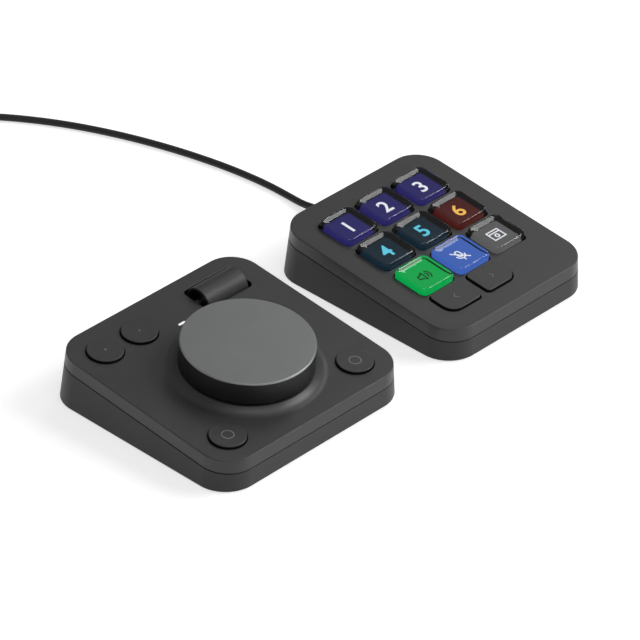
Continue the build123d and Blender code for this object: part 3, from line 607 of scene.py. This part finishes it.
def rounded_block(size: Point, corner: float, edge: float, place: Matrix) -> bmesh.types.BMesh:
    """Makes a block with round corners and a softened top edge.

    Args:
        size: Width, length and height.
        corner: Radius of the four upright corners.
        edge: Width of the softening of the top edge, or 0.
        place: Where the middle of its base stands.

    Returns:
        A closed mesh.
    """
    bm = bmesh.new()
    bmesh.ops.create_cube(bm, size=1.0, matrix=Matrix.Translation((0, 0, size[2] / 2))
                          @ Matrix.Diagonal((*size, 1)))
    upright = [e for e in bm.edges if abs((e.verts[0].co - e.verts[1].co).z) > size[2] / 2]
    bmesh.ops.bevel(bm, geom=upright, offset=corner, segments=CORNER_SEGMENTS, profile=0.5,
                    affect="EDGES", material=-1)
    if edge:
        top = max(bm.faces, key=lambda f: f.calc_center_median().z)
        bmesh.ops.bevel(bm, geom=list(top.edges), offset=edge, segments=EDGE_SEGMENTS, profile=0.5,
                        affect="EDGES", material=-1)
    bmesh.ops.transform(bm, matrix=place, verts=bm.verts)
    return bm


def pillow(corner: float, levels: list[Pair], place: Matrix) -> bmesh.types.BMesh:
    """Raises a rounded square through levels of different widths.

    Args:
        corner: Radius of the corners of the first level.
        levels: Half width and height of each level, from the bottom up.
        place: Where the middle stands.

    Returns:
        A closed mesh.
    """
    half, height = levels[0]
    bm = bmesh.new()
    bmesh.ops.create_grid(bm, x_segments=1, y_segments=1, size=half,
                          matrix=Matrix.Translation((0, 0, height)))
    bmesh.ops.bevel(bm, geom=list(bm.verts), offset=corner, segments=CORNER_SEGMENTS, profile=0.5,
                    affect="VERTICES", material=-1)
    bottom = top = list(bm.faces)
    for wide, high in levels[1:]:
        grown = bmesh.ops.extrude_face_region(bm, geom=top)["geom"]
        if top is not bottom:
            bmesh.ops.delete(bm, geom=top, context="FACES_ONLY")
        top = [item for item in grown if isinstance(item, bmesh.types.BMFace)]
        share = wide / half
        step = Matrix.Translation((0, 0, high)) @ Matrix.Diagonal((share, share, 1, 1))
        bmesh.ops.transform(bm, matrix=step @ Matrix.Translation((0, 0, -height)), verts=top[0].verts)
        half, height = wide, high
    bmesh.ops.recalc_face_normals(bm, faces=bm.faces)
    bmesh.ops.transform(bm, matrix=place, verts=bm.verts)
    return bm


@dataclass(frozen=True)
class Print:
    """Marks in ink or light that stand a little proud of a surface. Lengths in metres.

    The corners of a stroke are rounded by line_round of its width. A numeral's lines are bolder
    than plain type by type_bold of its size.
    """

    thickness: float
    ring_steps: int = 48
    line_round: float = 0.49
    type_bold: float = 0.016
    type_steps: int = 6
    type_merge: float = 0.02 * MM

    def ring(self, inner: float, outer: float, place: Matrix) -> bmesh.types.BMesh:
        """Makes a flat ring, or a dot where the inside radius is 0.

        Args:
            inner: Inside radius.
            outer: Outside radius.
            place: Middle of its underside.

        Returns:
            A closed mesh.
        """
        profile = [(inner, 0), (inner, self.thickness), (outer, self.thickness), (outer, 0), (inner, 0)]
        return spun(profile, place, self.ring_steps)

    def strokes(self, lines: list[Line], width: float, place: Matrix) -> bmesh.types.BMesh:
        """Makes strokes with round ends.

        Args:
            lines: Each stroke's two ends on the surface, as x, y, x, y.
            width: Width of the strokes.
            place: The surface that they lie on.

        Returns:
            One mesh of closed strokes.
        """
        whole = bmesh.new()
        for line in lines:
            start, end = Vector((*line[:2], 0)), Vector((*line[2:], 0))
            along = end - start
            turn = Matrix.Rotation(math.atan2(along.y, along.x), 4, "Z")
            spot = place @ Matrix.Translation((start + end) / 2) @ turn
            size = (along.length + width, width, self.thickness)
            mesh = mesh_of(rounded_block(size, self.line_round * width, 0, spot), "stroke")
            whole.from_mesh(mesh)
            bpy.data.meshes.remove(mesh)
        return whole

    def numeral(self, text: str, size: float, place: Matrix) -> bmesh.types.BMesh:
        """Makes a plain numeral that stands centred on a surface.

        Args:
            text: The numeral.
            size: Height of its type body.
            place: The surface that it lies on.

        Returns:
            A closed mesh.
        """
        curve = bpy.data.curves.new("numeral", "FONT")
        curve.body = text
        curve.size = size
        curve.offset = self.type_bold * size
        curve.extrude = self.thickness / 2
        curve.align_x = "CENTER"
        curve.align_y = "CENTER"
        curve.resolution_u = self.type_steps
        letter = shown("numeral", curve)
        bpy.context.view_layer.update()
        mesh = bpy.data.meshes.new_from_object(letter.evaluated_get(bpy.context.evaluated_depsgraph_get()))
        bm = bmesh.new()
        bm.from_mesh(mesh)
        bpy.data.objects.remove(letter)
        bpy.data.curves.remove(curve)
        bpy.data.meshes.remove(mesh)
        bmesh.ops.remove_doubles(bm, verts=bm.verts, dist=self.type_merge)
        low = Vector(min(v.co[i] for v in bm.verts) for i in range(3))
        high = Vector(max(v.co[i] for v in bm.verts) for i in range(3))
        middle = (low + high) / 2
        lift = Matrix.Translation((-middle.x, -middle.y, self.thickness / 2))
        bmesh.ops.transform(bm, matrix=place @ lift, verts=bm.verts)
        return bm


# ------------------------------ Places
@dataclass(frozen=True)
class Deck:
    """Tilted deck of one unit, which its pieces are placed on. Lengths in metres."""

    origin: Point
    width: float
    length: float = 89.5 * MM
    corner: float = 11.9 * MM
    tilt: float = math.radians(5.4)
    shell: float = 0.6 * MM

    def place(self, x: float, y: float, up: float = 0.0) -> Matrix:
        """Returns the place x across, y up the slope and up above the deck."""
        turn = Matrix.Rotation(self.tilt, 4, "X")
        return Matrix.Translation(self.origin) @ turn @ Matrix.Translation((x, y, up))

    def local(self, point: Vector) -> Vector:
        """Returns a place of the frame as x across, y up the slope and height above the deck."""
        return self.place(0, 0).inverted() @ point

    def inside(self, face: bmesh.types.BMFace) -> bool:
        """Tells whether a face lies below the deck and in from the outer walls.

        Args:
            face: A face of the cover.

        Returns:
            True for a face of the cover's inside.
        """
        spot = self.local(face.calc_center_median())
        over_x = max(abs(spot.x) - self.width / 2 + self.corner, 0)
        over_y = max(abs(spot.y) - self.length / 2 + self.corner, 0)
        return spot.z < -self.shell / 2 and math.hypot(over_x, over_y) < self.corner - self.shell

    def lower_than(self, height: float) -> Callable[[bmesh.types.BMFace], bool]:
        """Returns a test for the faces that lie lower than a height above the deck."""
        return lambda face: self.local(face.calc_center_median()).z < height


DIAL_DECK = Deck((-49.229 * MM, -1.273 * MM, 17.34 * MM), 91.4 * MM)
KEY_DECK = Deck((57.091 * MM, -1.873 * MM, 17.84 * MM), 76.6 * MM)


# ------------------------------ Cord
@dataclass
class CordSet:
    """The cord, from the plug in the key pad to its far plug.

    The laid stretch runs back from the key pad. The rest is wound into a neat coil of four layers,
    and a short tail leads to the far plug. The diameter and the length are in metres, places, radii
    and heights in millimetres, and angles in degrees.
    """

    diameter: float = 2.8 * MM
    length: float = 1.5
    exit_run: float = 3.6
    coil_centre: Pair = (-20.0, 205.4)
    inner_radius: float = 12.15
    outer_radius: float = 21.4
    layers: tuple[float, ...] = (1.4, 4.25, 7.1, 10.0)
    first_angle: float = 48.0
    last_angle: float = 102.1
    climb_angle: float = 120.0
    whole_turns: int = 12
    points_per_turn: int = 16
    line_steps: int = 5
    jacket_steps: int = 4
    start: tuple[Point, ...] = (
        (57.3, 66.5, 2.2), (58.3, 75.0, 1.4), (58.45, 85.0, 1.4), (57.7, 96.0, 1.4), (55.6, 111.0, 1.4),
        (50.9, 131.5, 1.4), (43.8, 153.3, 1.4), (34.0, 175.3, 1.4), (21.3, 195.6, 1.4), (8.6, 209.9, 1.4),
    )
    tail: tuple[Point, ...] = (
        (-36.2, 223.8, 8.9), (-49.0, 219.8, 5.4), (-61.2, 214.2, 2.5), (-70.2, 208.8, 2.5),
    )

    def coil(self) -> list[Point]:
        """Works out the coil's turns.

        Each layer spirals between the outer and the inner radius, in and out by turns, and the cord
        climbs to the next one over climb_angle.

        Returns:
            The points of the turns, in millimetres.
        """
        sweep = WHOLE_TURN * self.whole_turns + self.last_angle - self.first_angle
        per_layer = sweep / len(self.layers)
        steps = round(sweep / WHOLE_TURN * self.points_per_turn)
        points = []
        for step in range(steps + 1):
            gone = sweep * step / steps
            layer = min(int(gone / per_layer), len(self.layers) - 1)
            share = (gone - layer * per_layer) / per_layer
            inward = share if layer % 2 == 0 else 1 - share
            radius = self.outer_radius + (self.inner_radius - self.outer_radius) * inward
            height = self.layers[layer]
            if layer:
                climb = min(1.0, (gone - layer * per_layer) / self.climb_angle)
                height = self.layers[layer - 1] + (height - self.layers[layer - 1]) * climb
            angle = math.radians(self.first_angle + gone)
            points.append((self.coil_centre[0] + radius * math.cos(angle),
                           self.coil_centre[1] + radius * math.sin(angle), height))
        return points

    def line(self, route: list[Point]) -> bpy.types.Curve:
        """Lays the jacket along its route.

        Args:
            route: Points of the route, in millimetres.

        Returns:
            One smooth spline with the jacket round it.
        """
        curve = bpy.data.curves.new("cord_line", "CURVE")
        curve.dimensions = "3D"
        spline = curve.splines.new("NURBS")
        spline.points.add(len(route) - 1)
        for point, (x, y, z) in zip(spline.points, route):
            point.co = (x * MM, y * MM, z * MM, 1)
        spline.order_u = 3
        spline.use_endpoint_u = True
        spline.resolution_u = self.line_steps
        curve.bevel_depth = self.diameter / 2
        curve.bevel_resolution = self.jacket_steps
        curve.use_fill_caps = True
        curve.materials.append(material_of(Palette.JACKET))
        return curve

    def build(self) -> None:
        """Makes the cord and dresses its plugs."""
        low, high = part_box("plug_relief")
        leave = ((low.x + high.x) / 2 / MM, high.y / MM, (low.z + high.z) / 2 / MM)
        straight = (leave[0], leave[1] + self.exit_run, leave[2])
        route = [leave, straight, *self.start, *self.coil(), *self.tail]
        cord = shown("cord_jacket_run", self.line(route))
        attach(cord, HOUSINGS)
        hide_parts("cord", "cord_coil", "cord_tail")
        looks = {"relief": Palette.PLUG, "grip": Palette.PLUG, "tip": Palette.CONNECTOR}
        plugs = [smooth_copy(f"{end}_{part}", finish) for end in ("plug", "far_plug")
                 for part, finish in looks.items()]
        LOG.info("cord with %d points", len(route))


# ------------------------------ Dial pad
@dataclass
class DialPad:
    """Pad with the dial, the roller and four round buttons. Sizes in millimetres."""

    deck: Deck = DIAL_DECK
    dial_y: float = -8.3
    dial_radius: float = 24.75
    skirt_top: float = 11.45
    face_top: float = 12.0
    face_chamfer: float = 0.45
    chamfer_ease: float = 0.3
    face_steps: int = 192
    face_angle: float = 20.0
    face_colour: Colour = (0.3, 0.312, 0.306)
    button_proud: float = 1.05
    button_round: float = 0.25
    roller_bore: float = 5.2
    ring_radius: float = 2.35
    ring_width: float = 0.32
    dot_radius: float = 0.38
    ink: float = 0.015
    ink_lift: float = 0.001
    underside: float = 0.1
    button_places: tuple[tuple[str, float, float], ...] = (
        ("back_left", -32.5, 30.95), ("back_middle", -15.6, 30.95),
        ("front_left", -32.5, -31.85), ("front_right", 31.8, -31.85),
    )

    def build_housing(self) -> None:
        """Dresses the shell, its feet and its fasteners."""
        # The cover's faces below the deck, in its holes, its trough and on its underside, are black as
        # painted shade.
        smooth_copy("dialpad_top_cover", Palette.HOUSING, WALL_ANGLE, self.deck.inside)
        smooth_copy("dialpad_base", Palette.BASE, WALL_ANGLE)
        smooth_copy("dialpad_feet", Palette.FOOT)
        smooth_copy("dialpad_screws", Palette.STEEL)
        smooth_copy("battery_door", Palette.BASE)
        smooth_copy("power_switch", Palette.SWITCH, lowest=self.underside * MM)
        smooth_copy("pairing_button", Palette.SWITCH, lowest=self.underside * MM)
        smooth_copy("status_light", Palette.LIGHT)

    def build_inside(self) -> None:
        """Gives the inner pieces their finishes."""
        paint({
            "dialpad_board": Palette.BOARD, "button_switches": Palette.SWITCH,
            "dial_bush": Palette.BUSH, "dial_encoder": Palette.SWITCH, "dial_shaft": Palette.STEEL,
            # The roller's cradle is black, which also stands for painted shade in the roller's pocket.
            "roller_axle": Palette.STEEL, "roller_cradle": Palette.INNER_AND_SHADE,
            "battery_1": Palette.SLEEVE, "battery_2": Palette.SLEEVE,
            "battery_contacts": Palette.STEEL, "underside_switches": Palette.SWITCH,
        })

    def build_dial(self) -> None:
        """Makes the dial's metal face, and dresses its skirt."""
        place = self.deck.place(0, self.dial_y * MM)
        rim, top, chamfer = self.dial_radius, self.face_top, self.face_chamfer
        ease = self.chamfer_ease * chamfer
        profile = [(0, self.skirt_top), (rim, self.skirt_top), (rim, top - chamfer),
                   (rim - ease, top - ease), (rim - chamfer, top), (0, top)]
        disc = spun([(radius * MM, height * MM) for radius, height in profile], place, self.face_steps)
        turned = TurnedMetal("dial_face_turned", self.face_colour, tuple(place.to_translation()),
                             self.deck.tilt)
        finished(disc, "dial_face_disc", "dial", turned, self.face_angle, ("dial_face",))
        smooth_copy("dial_skirt", Palette.SKIRT)

    def build_roller(self) -> None:
        """Dresses the roller, with black painted shade inside its dished ends."""
        low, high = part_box("roller")
        middle = (low + high) / 2

        def in_shaded_end(face: bmesh.types.BMFace) -> bool:
            """Tells whether a face lies within the rim of an end, where painted shade goes."""
            spot = face.calc_center_median() - middle
            return math.hypot(spot.y, spot.z) < self.roller_bore * MM

        smooth_copy("roller", Palette.ROLLER, painted_shade=in_shaded_end)

    def build_buttons(self) -> None:
        """Dresses the round buttons, with painted shade on their sides, and prints their marks."""
        top = (self.button_proud + self.ink_lift) * MM
        rim = (self.button_proud - self.button_round) * MM
        ink = Print(self.ink * MM)
        for name, x, y in self.button_places:
            body = f"round_button_{name}"
            # Each button's sides below its rim are black: painted shade in the gap round the button.
            smooth_copy(body, Palette.BUTTON, painted_shade=self.deck.lower_than(rim))
            place = self.deck.place(x * MM, y * MM, top)
            inner = self.ring_radius - self.ring_width if name.startswith("front") else 0.0
            outer = self.ring_radius if inner else self.dot_radius
            finished(ink.ring(inner * MM, outer * MM, place), f"mark_{name}", body, Palette.PRINT)

    def build(self) -> None:
        """Builds the whole unit."""
        self.build_housing()
        self.build_inside()
        self.build_dial()
        self.build_roller()
        self.build_buttons()


# ------------------------------ Key pad
class Symbol(Enum):
    """What a key's picture shows."""

    NUMERAL = "numeral"
    SPEAKER = "speaker"
    MUTED_MICROPHONE = "muted_microphone"
    WINDOW = "window"


@dataclass(frozen=True)
class KeyPicture:
    """Picture on one key: its symbol, the colours of ground and line, and a numeral's text."""

    symbol: Symbol
    ground: Colour
    line: Colour
    text: str = ""


# Fewest lines of an arc, and about how many degrees each takes in.
ARC_LEAST = 4
ARC_STEP = 22


def arc(x: float, y: float, radius: float, first: float, last: float) -> list[Line]:
    """Works out short lines along an arc.

    Args:
        x: Place of its middle across.
        y: Place of its middle up the slope.
        radius: Its radius.
        first: Angle that it starts from, in degrees.
        last: Angle that it ends at, in degrees.

    Returns:
        The ends of each line, as x, y, x, y.
    """
    steps = max(ARC_LEAST, round(abs(last - first) / ARC_STEP))
    angles = [math.radians(first + (last - first) * i / steps) for i in range(steps + 1)]
    dots = [(x + radius * math.cos(a), y + radius * math.sin(a)) for a in angles]
    return [(*a, *b) for a, b in zip(dots, dots[1:])]


# Strokes of the common symbols, in millimetres from the middle of the key.
DRAWINGS: dict[Symbol, list[Line]] = {
    Symbol.SPEAKER: [
        (-2.7, -0.9, -2.7, 0.9), (-2.7, 0.9, -1.5, 0.9), (-1.5, 0.9, 0.1, 2.2),
        (0.1, 2.2, 0.1, -2.2), (0.1, -2.2, -1.5, -0.9), (-1.5, -0.9, -2.7, -0.9),
        *arc(0.3, 0.0, 1.5, -50, 50), *arc(0.3, 0.0, 2.7, -50, 50),
    ],
    Symbol.MUTED_MICROPHONE: [
        *arc(0, 1.5, 1.0, 0, 180), *arc(0, 0.2, 1.0, 180, 360),
        (-1.0, 0.2, -1.0, 1.5), (1.0, 0.2, 1.0, 1.5), (0, -1.9, 0, -3.0),
        *arc(0, 0.2, 2.1, 190, 350), (-2.7, 2.7, 2.7, -2.7),
    ],
    Symbol.WINDOW: [
        (-2.9, -2.5, 2.9, -2.5), (2.9, -2.5, 2.9, 2.5), (2.9, 2.5, -2.9, 2.5),
        (-2.9, 2.5, -2.9, -2.5), (-2.9, 1.2, 2.9, 1.2), *arc(0, -0.65, 0.85, 0, 360),
    ],
}
INDIGO = (0.02, 0.016, 0.12)
TEAL = (0.004, 0.017, 0.03)
CYAN = (0.12, 0.62, 0.8)
WHITE = (0.85, 0.86, 0.92)
PICTURES = (
    KeyPicture(Symbol.NUMERAL, INDIGO, WHITE, "1"),
    KeyPicture(Symbol.NUMERAL, INDIGO, WHITE, "2"),
    KeyPicture(Symbol.NUMERAL, INDIGO, WHITE, "3"),
    KeyPicture(Symbol.NUMERAL, TEAL, CYAN, "4"),
    KeyPicture(Symbol.NUMERAL, TEAL, CYAN, "5"),
    KeyPicture(Symbol.NUMERAL, (0.065, 0.008, 0.006), (0.95, 0.52, 0.1), "6"),
    KeyPicture(Symbol.SPEAKER, (0.0, 0.38, 0.07), (0.005, 0.03, 0.008)),
    KeyPicture(Symbol.MUTED_MICROPHONE, (0.05, 0.125, 0.47), WHITE),
    KeyPicture(Symbol.WINDOW, (0.105, 0.105, 0.105), WHITE),
)


@dataclass
class KeyPad:
    """Pad with nine clear keys over a display and two page buttons. Sizes in millimetres."""

    deck: Deck = KEY_DECK
    columns: int = 3
    pitch: float = 19.6
    grid_y: float = 6.2
    key_size: float = 16.8
    key_corner: float = 2.0
    key_proud: float = 2.7
    key_bevel: float = 0.65
    key_bevel_height: float = 0.95
    lip_width: float = 2.0
    lip_slope: float = 12.0
    dish_share: float = 0.2
    sleeve_top: float = -0.2
    key_flange: float = 0.9
    flange_top: float = -2.05
    flange_bottom: float = -2.65
    shoulder_round: float = 0.12
    shoulder_steps: int = 4
    ridge_round: float = 0.5
    ridge_steps: int = 8
    lip_steps: int = 4
    dish_steps: int = 10
    picture_size: float = 13.0
    bright_picture_size: float = 16.2
    bright_ground: float = 0.3
    picture_corner: float = 1.4
    picture_edge: float = 0.3
    picture_top: float = -0.8
    picture_bottom: float = -2.5
    line_height: float = 0.05
    line_lift: float = 0.002
    line_width: float = 0.6
    numeral_size: float = 9.4
    page_y: float = -29.4
    page_proud: float = 0.9
    page_round: float = 0.25
    arrow: float = 1.15
    arrow_width: float = 0.26
    ink: float = 0.015
    ink_lift: float = 0.001

    def key_place(self, number: int, up: float) -> Matrix:
        """Returns the middle of a key, at a height above the deck. Key 1 is at the back left."""
        row, column = divmod(number - 1, self.columns)
        return self.deck.place((column - 1) * self.pitch * MM, (self.grid_y + (1 - row) * self.pitch) * MM,
                               up * MM)

    def build_housing(self) -> None:
        """Dresses the shell, its feet and its inner pieces."""
        # The cover's faces below the deck, round the keys and buttons and on its underside, are black as
        # painted shade.
        smooth_copy("keypad_top_cover", Palette.HOUSING, WALL_ANGLE, self.deck.inside)
        smooth_copy("keypad_base", Palette.BASE, WALL_ANGLE)
        smooth_copy("keypad_feet", Palette.FOOT)
        paint({
            "keypad_screws": Palette.STEEL, "key_mat": Palette.MAT, "display_panel": Palette.DISPLAY,
            "display_tray": Palette.INNER_AND_SHADE, "keypad_board": Palette.BOARD,
            "keypad_switches": Palette.SWITCH, "usb_socket": Palette.CONNECTOR,
            "socket_board": Palette.BOARD,
        })

    def key_levels(self) -> list[Pair]:
        """Works out a key's form from its rim under the deck up to the middle of its dish.

        A sloping edge rises from the shoulder to a round ridge. From there a lip slopes inwards to a
        shallow dish, whose depth is the share dish_share of a bowl's that starts as steep as the lip.

        Returns:
            Half width and height of each level, in metres.
        """
        side, crown = self.key_size / 2, self.key_size / 2 - self.key_bevel
        shoulder = self.key_proud - self.key_bevel_height
        slope, lip = math.atan2(self.key_bevel_height, self.key_bevel), math.radians(self.lip_slope)
        levels = [(side + self.key_flange, self.flange_bottom), (side + self.key_flange, self.flange_top),
                  (side, self.flange_top), (side, self.sleeve_top), (side, shoulder - self.shoulder_round)]
        for part in range(1, self.shoulder_steps + 1):
            turn = (math.pi / 2 - slope) * part / self.shoulder_steps
            levels.append((side - self.shoulder_round * (1 - math.cos(turn)),
                           shoulder - self.shoulder_round * (1 - math.sin(turn))))
        half, height = crown + self.ridge_round / 2, self.key_proud - self.ridge_round / 2 * math.tan(slope)
        levels.append((half, height))
        step = self.ridge_round / self.ridge_steps
        for part in range(self.ridge_steps):
            turn = slope - (slope + lip) * (part + 0.5) / self.ridge_steps
            half -= step
            height += step * math.tan(turn)
            levels.append((half, height))
        for part in range(1, self.lip_steps + 1):
            run = self.lip_width * part / self.lip_steps
            levels.append((half - run, height - run * math.tan(lip)))
        half, height = levels[-1]
        dish = half * math.tan(lip) / 2 * self.dish_share
        for part in range(1, self.dish_steps):
            share = 1 - part / self.dish_steps
            levels.append((half * share, height - dish * (1 - share ** 2)))
        return [(wide * MM, high * MM) for wide, high in levels]

    def build_block(self, number: int) -> None:
        """Makes one clear key, which is black down in its sleeve as painted shade.

        Args:
            number: The key's number.
        """
        body = f"key_{number}"
        block = pillow((self.key_corner + self.key_flange) * MM, self.key_levels(),
                       self.key_place(number, 0))
        # Faces down in the sleeve are black: painted shade under the deck.
        in_shaded_sleeve = self.deck.lower_than(self.sleeve_top * MM)
        for face in block.faces:
            face.material_index = int(in_shaded_sleeve(face))
        clear = finished(block, f"{body}_block", body, Palette.KEY, replaces=(body,))
        clear.data.materials.append(material_of(Palette.INNER_AND_SHADE))

    def build_picture(self, number: int, picture: KeyPicture) -> None:
        """Makes the picture that shows inside one key.

        Args:
            number: The key's number.
            picture: What it shows.
        """
        body = f"key_{number}"
        wide = self.bright_picture_size if max(picture.ground) > self.bright_ground else self.picture_size
        size = (wide * MM, wide * MM, (self.picture_top - self.picture_bottom) * MM)
        tile = rounded_block(size, self.picture_corner * MM, self.picture_edge * MM,
                             self.key_place(number, self.picture_bottom))
        finished(tile, f"picture_{number}", body, LitPicture(f"picture_ground_{number}", picture.ground))
        place = self.key_place(number, self.picture_top + self.line_lift)
        light = Print(self.line_height * MM)
        if picture.symbol is Symbol.NUMERAL:
            mark = light.numeral(picture.text, self.numeral_size * MM, place)
        else:
            lines = [tuple(end * MM for end in line) for line in DRAWINGS[picture.symbol]]
            mark = light.strokes(lines, self.line_width * MM, place)
        finished(mark, f"symbol_{number}", body, LitPicture(f"picture_line_{number}", picture.line))

    def build_keys(self) -> None:
        """Makes the nine keys and their pictures."""
        for number, picture in enumerate(PICTURES, start=1):
            self.build_block(number)
            self.build_picture(number, picture)

    def build_page_buttons(self) -> None:
        """Dresses the page buttons, with painted shade on their sides, and prints an arrowhead on each."""
        rim = (self.page_proud - self.page_round) * MM
        wing = self.arrow * MM
        for side, column, sign in (("left", -1, -1), ("right", 0, 1)):
            body = f"page_button_{side}"
            # Each button's sides below its rim are black: painted shade in the gap round the button.
            smooth_copy(body, Palette.BUTTON, painted_shade=self.deck.lower_than(rim))
            place = self.deck.place(column * self.pitch * MM, self.page_y * MM,
                                    (self.page_proud + self.ink_lift) * MM)
            tip = sign * self.arrow / 2 * MM
            arms = [(-tip, end, tip, 0.0) for end in (wing, -wing)]
            finished(Print(self.ink * MM).strokes(arms, self.arrow_width * MM, place), f"arrow_{side}",
                     body, Palette.PRINT)

    def build(self) -> None:
        """Builds the whole unit."""
        self.build_housing()
        self.build_keys()
        self.build_page_buttons()


# ------------------------------ Studio
@dataclass(frozen=True)
class Lamp:
    """Soft rectangular lamp that points at the set. Lengths in metres, power in watts.

    The direction is where it hangs, seen from the set. The long side of its face leads along a
    second direction, as nearly as facing the set lets it.
    """

    name: str
    direction: Point
    size: Pair
    power: float
    along: Point = (1.0, 0.0, 0.0)
    distance: float = 2.4

    def hang(self) -> None:
        """Makes the lamp and hangs it."""
        light = bpy.data.lights.new(self.name, "AREA")
        light.shape = "RECTANGLE"
        light.size, light.size_y = self.size
        light.energy = self.power
        back = Vector(self.direction).normalized()
        up = back.cross(Vector(self.along)).normalized()
        turn = Matrix((up.cross(back), up, back)).transposed().to_4x4()
        shown(self.name, light).matrix_world = Matrix.Translation(back * self.distance) @ turn


@dataclass
class Studio:
    """Camera, floor, room light and lamps. Lengths in metres, angles in degrees.

    The room's light goes from one strength to another between the two heights of room_fade, where
    level is 0 and straight up is 1.
    """

    azimuth: float = -45.584
    elevation: float = 34.388
    roll: float = 0.139
    distance: float = 1.6137
    target: Point = (-0.02494, -0.0227, 0.03149)
    lens: float = 253.29
    sensor: float = 36.0
    clip: Pair = (0.05, 20.0)
    floor_reach: float = 20.0
    floor_steps: int = 96
    room_light: Pair = (0.1, 0.28)
    room_fade: Pair = (0.05, 0.75)
    lamps: tuple[Lamp, ...] = (
        Lamp("front_softbox", (0.62, -0.52, 0.58), (1.2, 1.2), 24.0),
        Lamp("rim_softbox", (0.6, -0.34, 0.72), (1.0, 1.0), 11.0),
        Lamp("top_softbox", (-0.15, -0.35, 0.92), (1.3, 1.3), 10.0),
        Lamp("strip_light", (0.68, 0.24, 0.69), (1.1, 0.32), 4.8, along=(0.78, 0.35, 0.52)),
    )

    def build_camera(self) -> None:
        """Places the camera."""
        a, e = math.radians(self.azimuth), math.radians(self.elevation)
        back = Vector((math.sin(a) * math.cos(e), -math.cos(a) * math.cos(e), math.sin(e)))
        camera = bpy.data.cameras.new("camera")
        camera.lens = self.lens
        camera.sensor_width = self.sensor
        camera.clip_start, camera.clip_end = self.clip
        turn = (-back).to_track_quat("-Z", "Y").to_matrix().to_4x4()
        seen = shown("camera", camera)
        seen.matrix_world = (Matrix.Translation(Vector(self.target) + back * self.distance) @ turn
                             @ Matrix.Rotation(math.radians(self.roll), 4, "Z"))
        bpy.context.scene.camera = seen

    def build_floor(self) -> None:
        """Lays the round white floor."""
        bm = bmesh.new()
        bmesh.ops.create_circle(bm, cap_ends=True, segments=self.floor_steps, radius=self.floor_reach)
        mesh = mesh_of(bm, "floor")
        mesh.materials.append(material_of(FloorWhite("floor_white")))
        shown("floor", mesh)

    def build_world(self) -> None:
        """Fills the room with grey light that fades from overhead down to the walls."""
        world = bpy.data.worlds.new("room")
        graph = NodeGraph(world, "Background")
        direction = graph.add("ShaderNodeTexCoord").outputs["Generated"]
        height = graph.add("ShaderNodeSeparateXYZ", {"Vector": direction}).outputs["Z"]
        strength = graph.spread(height, self.room_fade, self.room_light)
        graph.join(graph.shader, {"Color": (1, 1, 1, 1), "Strength": strength})
        bpy.context.scene.world = world
        bpy.context.scene.view_settings.view_transform = "Standard"

    def build_lamps(self) -> None:
        """Hangs the lamps: softboxes in front at the right and overhead, and a strip at the right."""
        for lamp in self.lamps:
            lamp.hang()


def main() -> None:
    """Builds the studio, the cord and both units."""
    logging.basicConfig(level=logging.INFO, format="%(name)s %(message)s")
    studio = Studio()
    studio.build_camera()
    CordSet().build()
    DialPad().build()
    KeyPad().build()
    studio.build_floor()
    studio.build_world()
    studio.build_lamps()


if __name__ == "__main__":
    main()
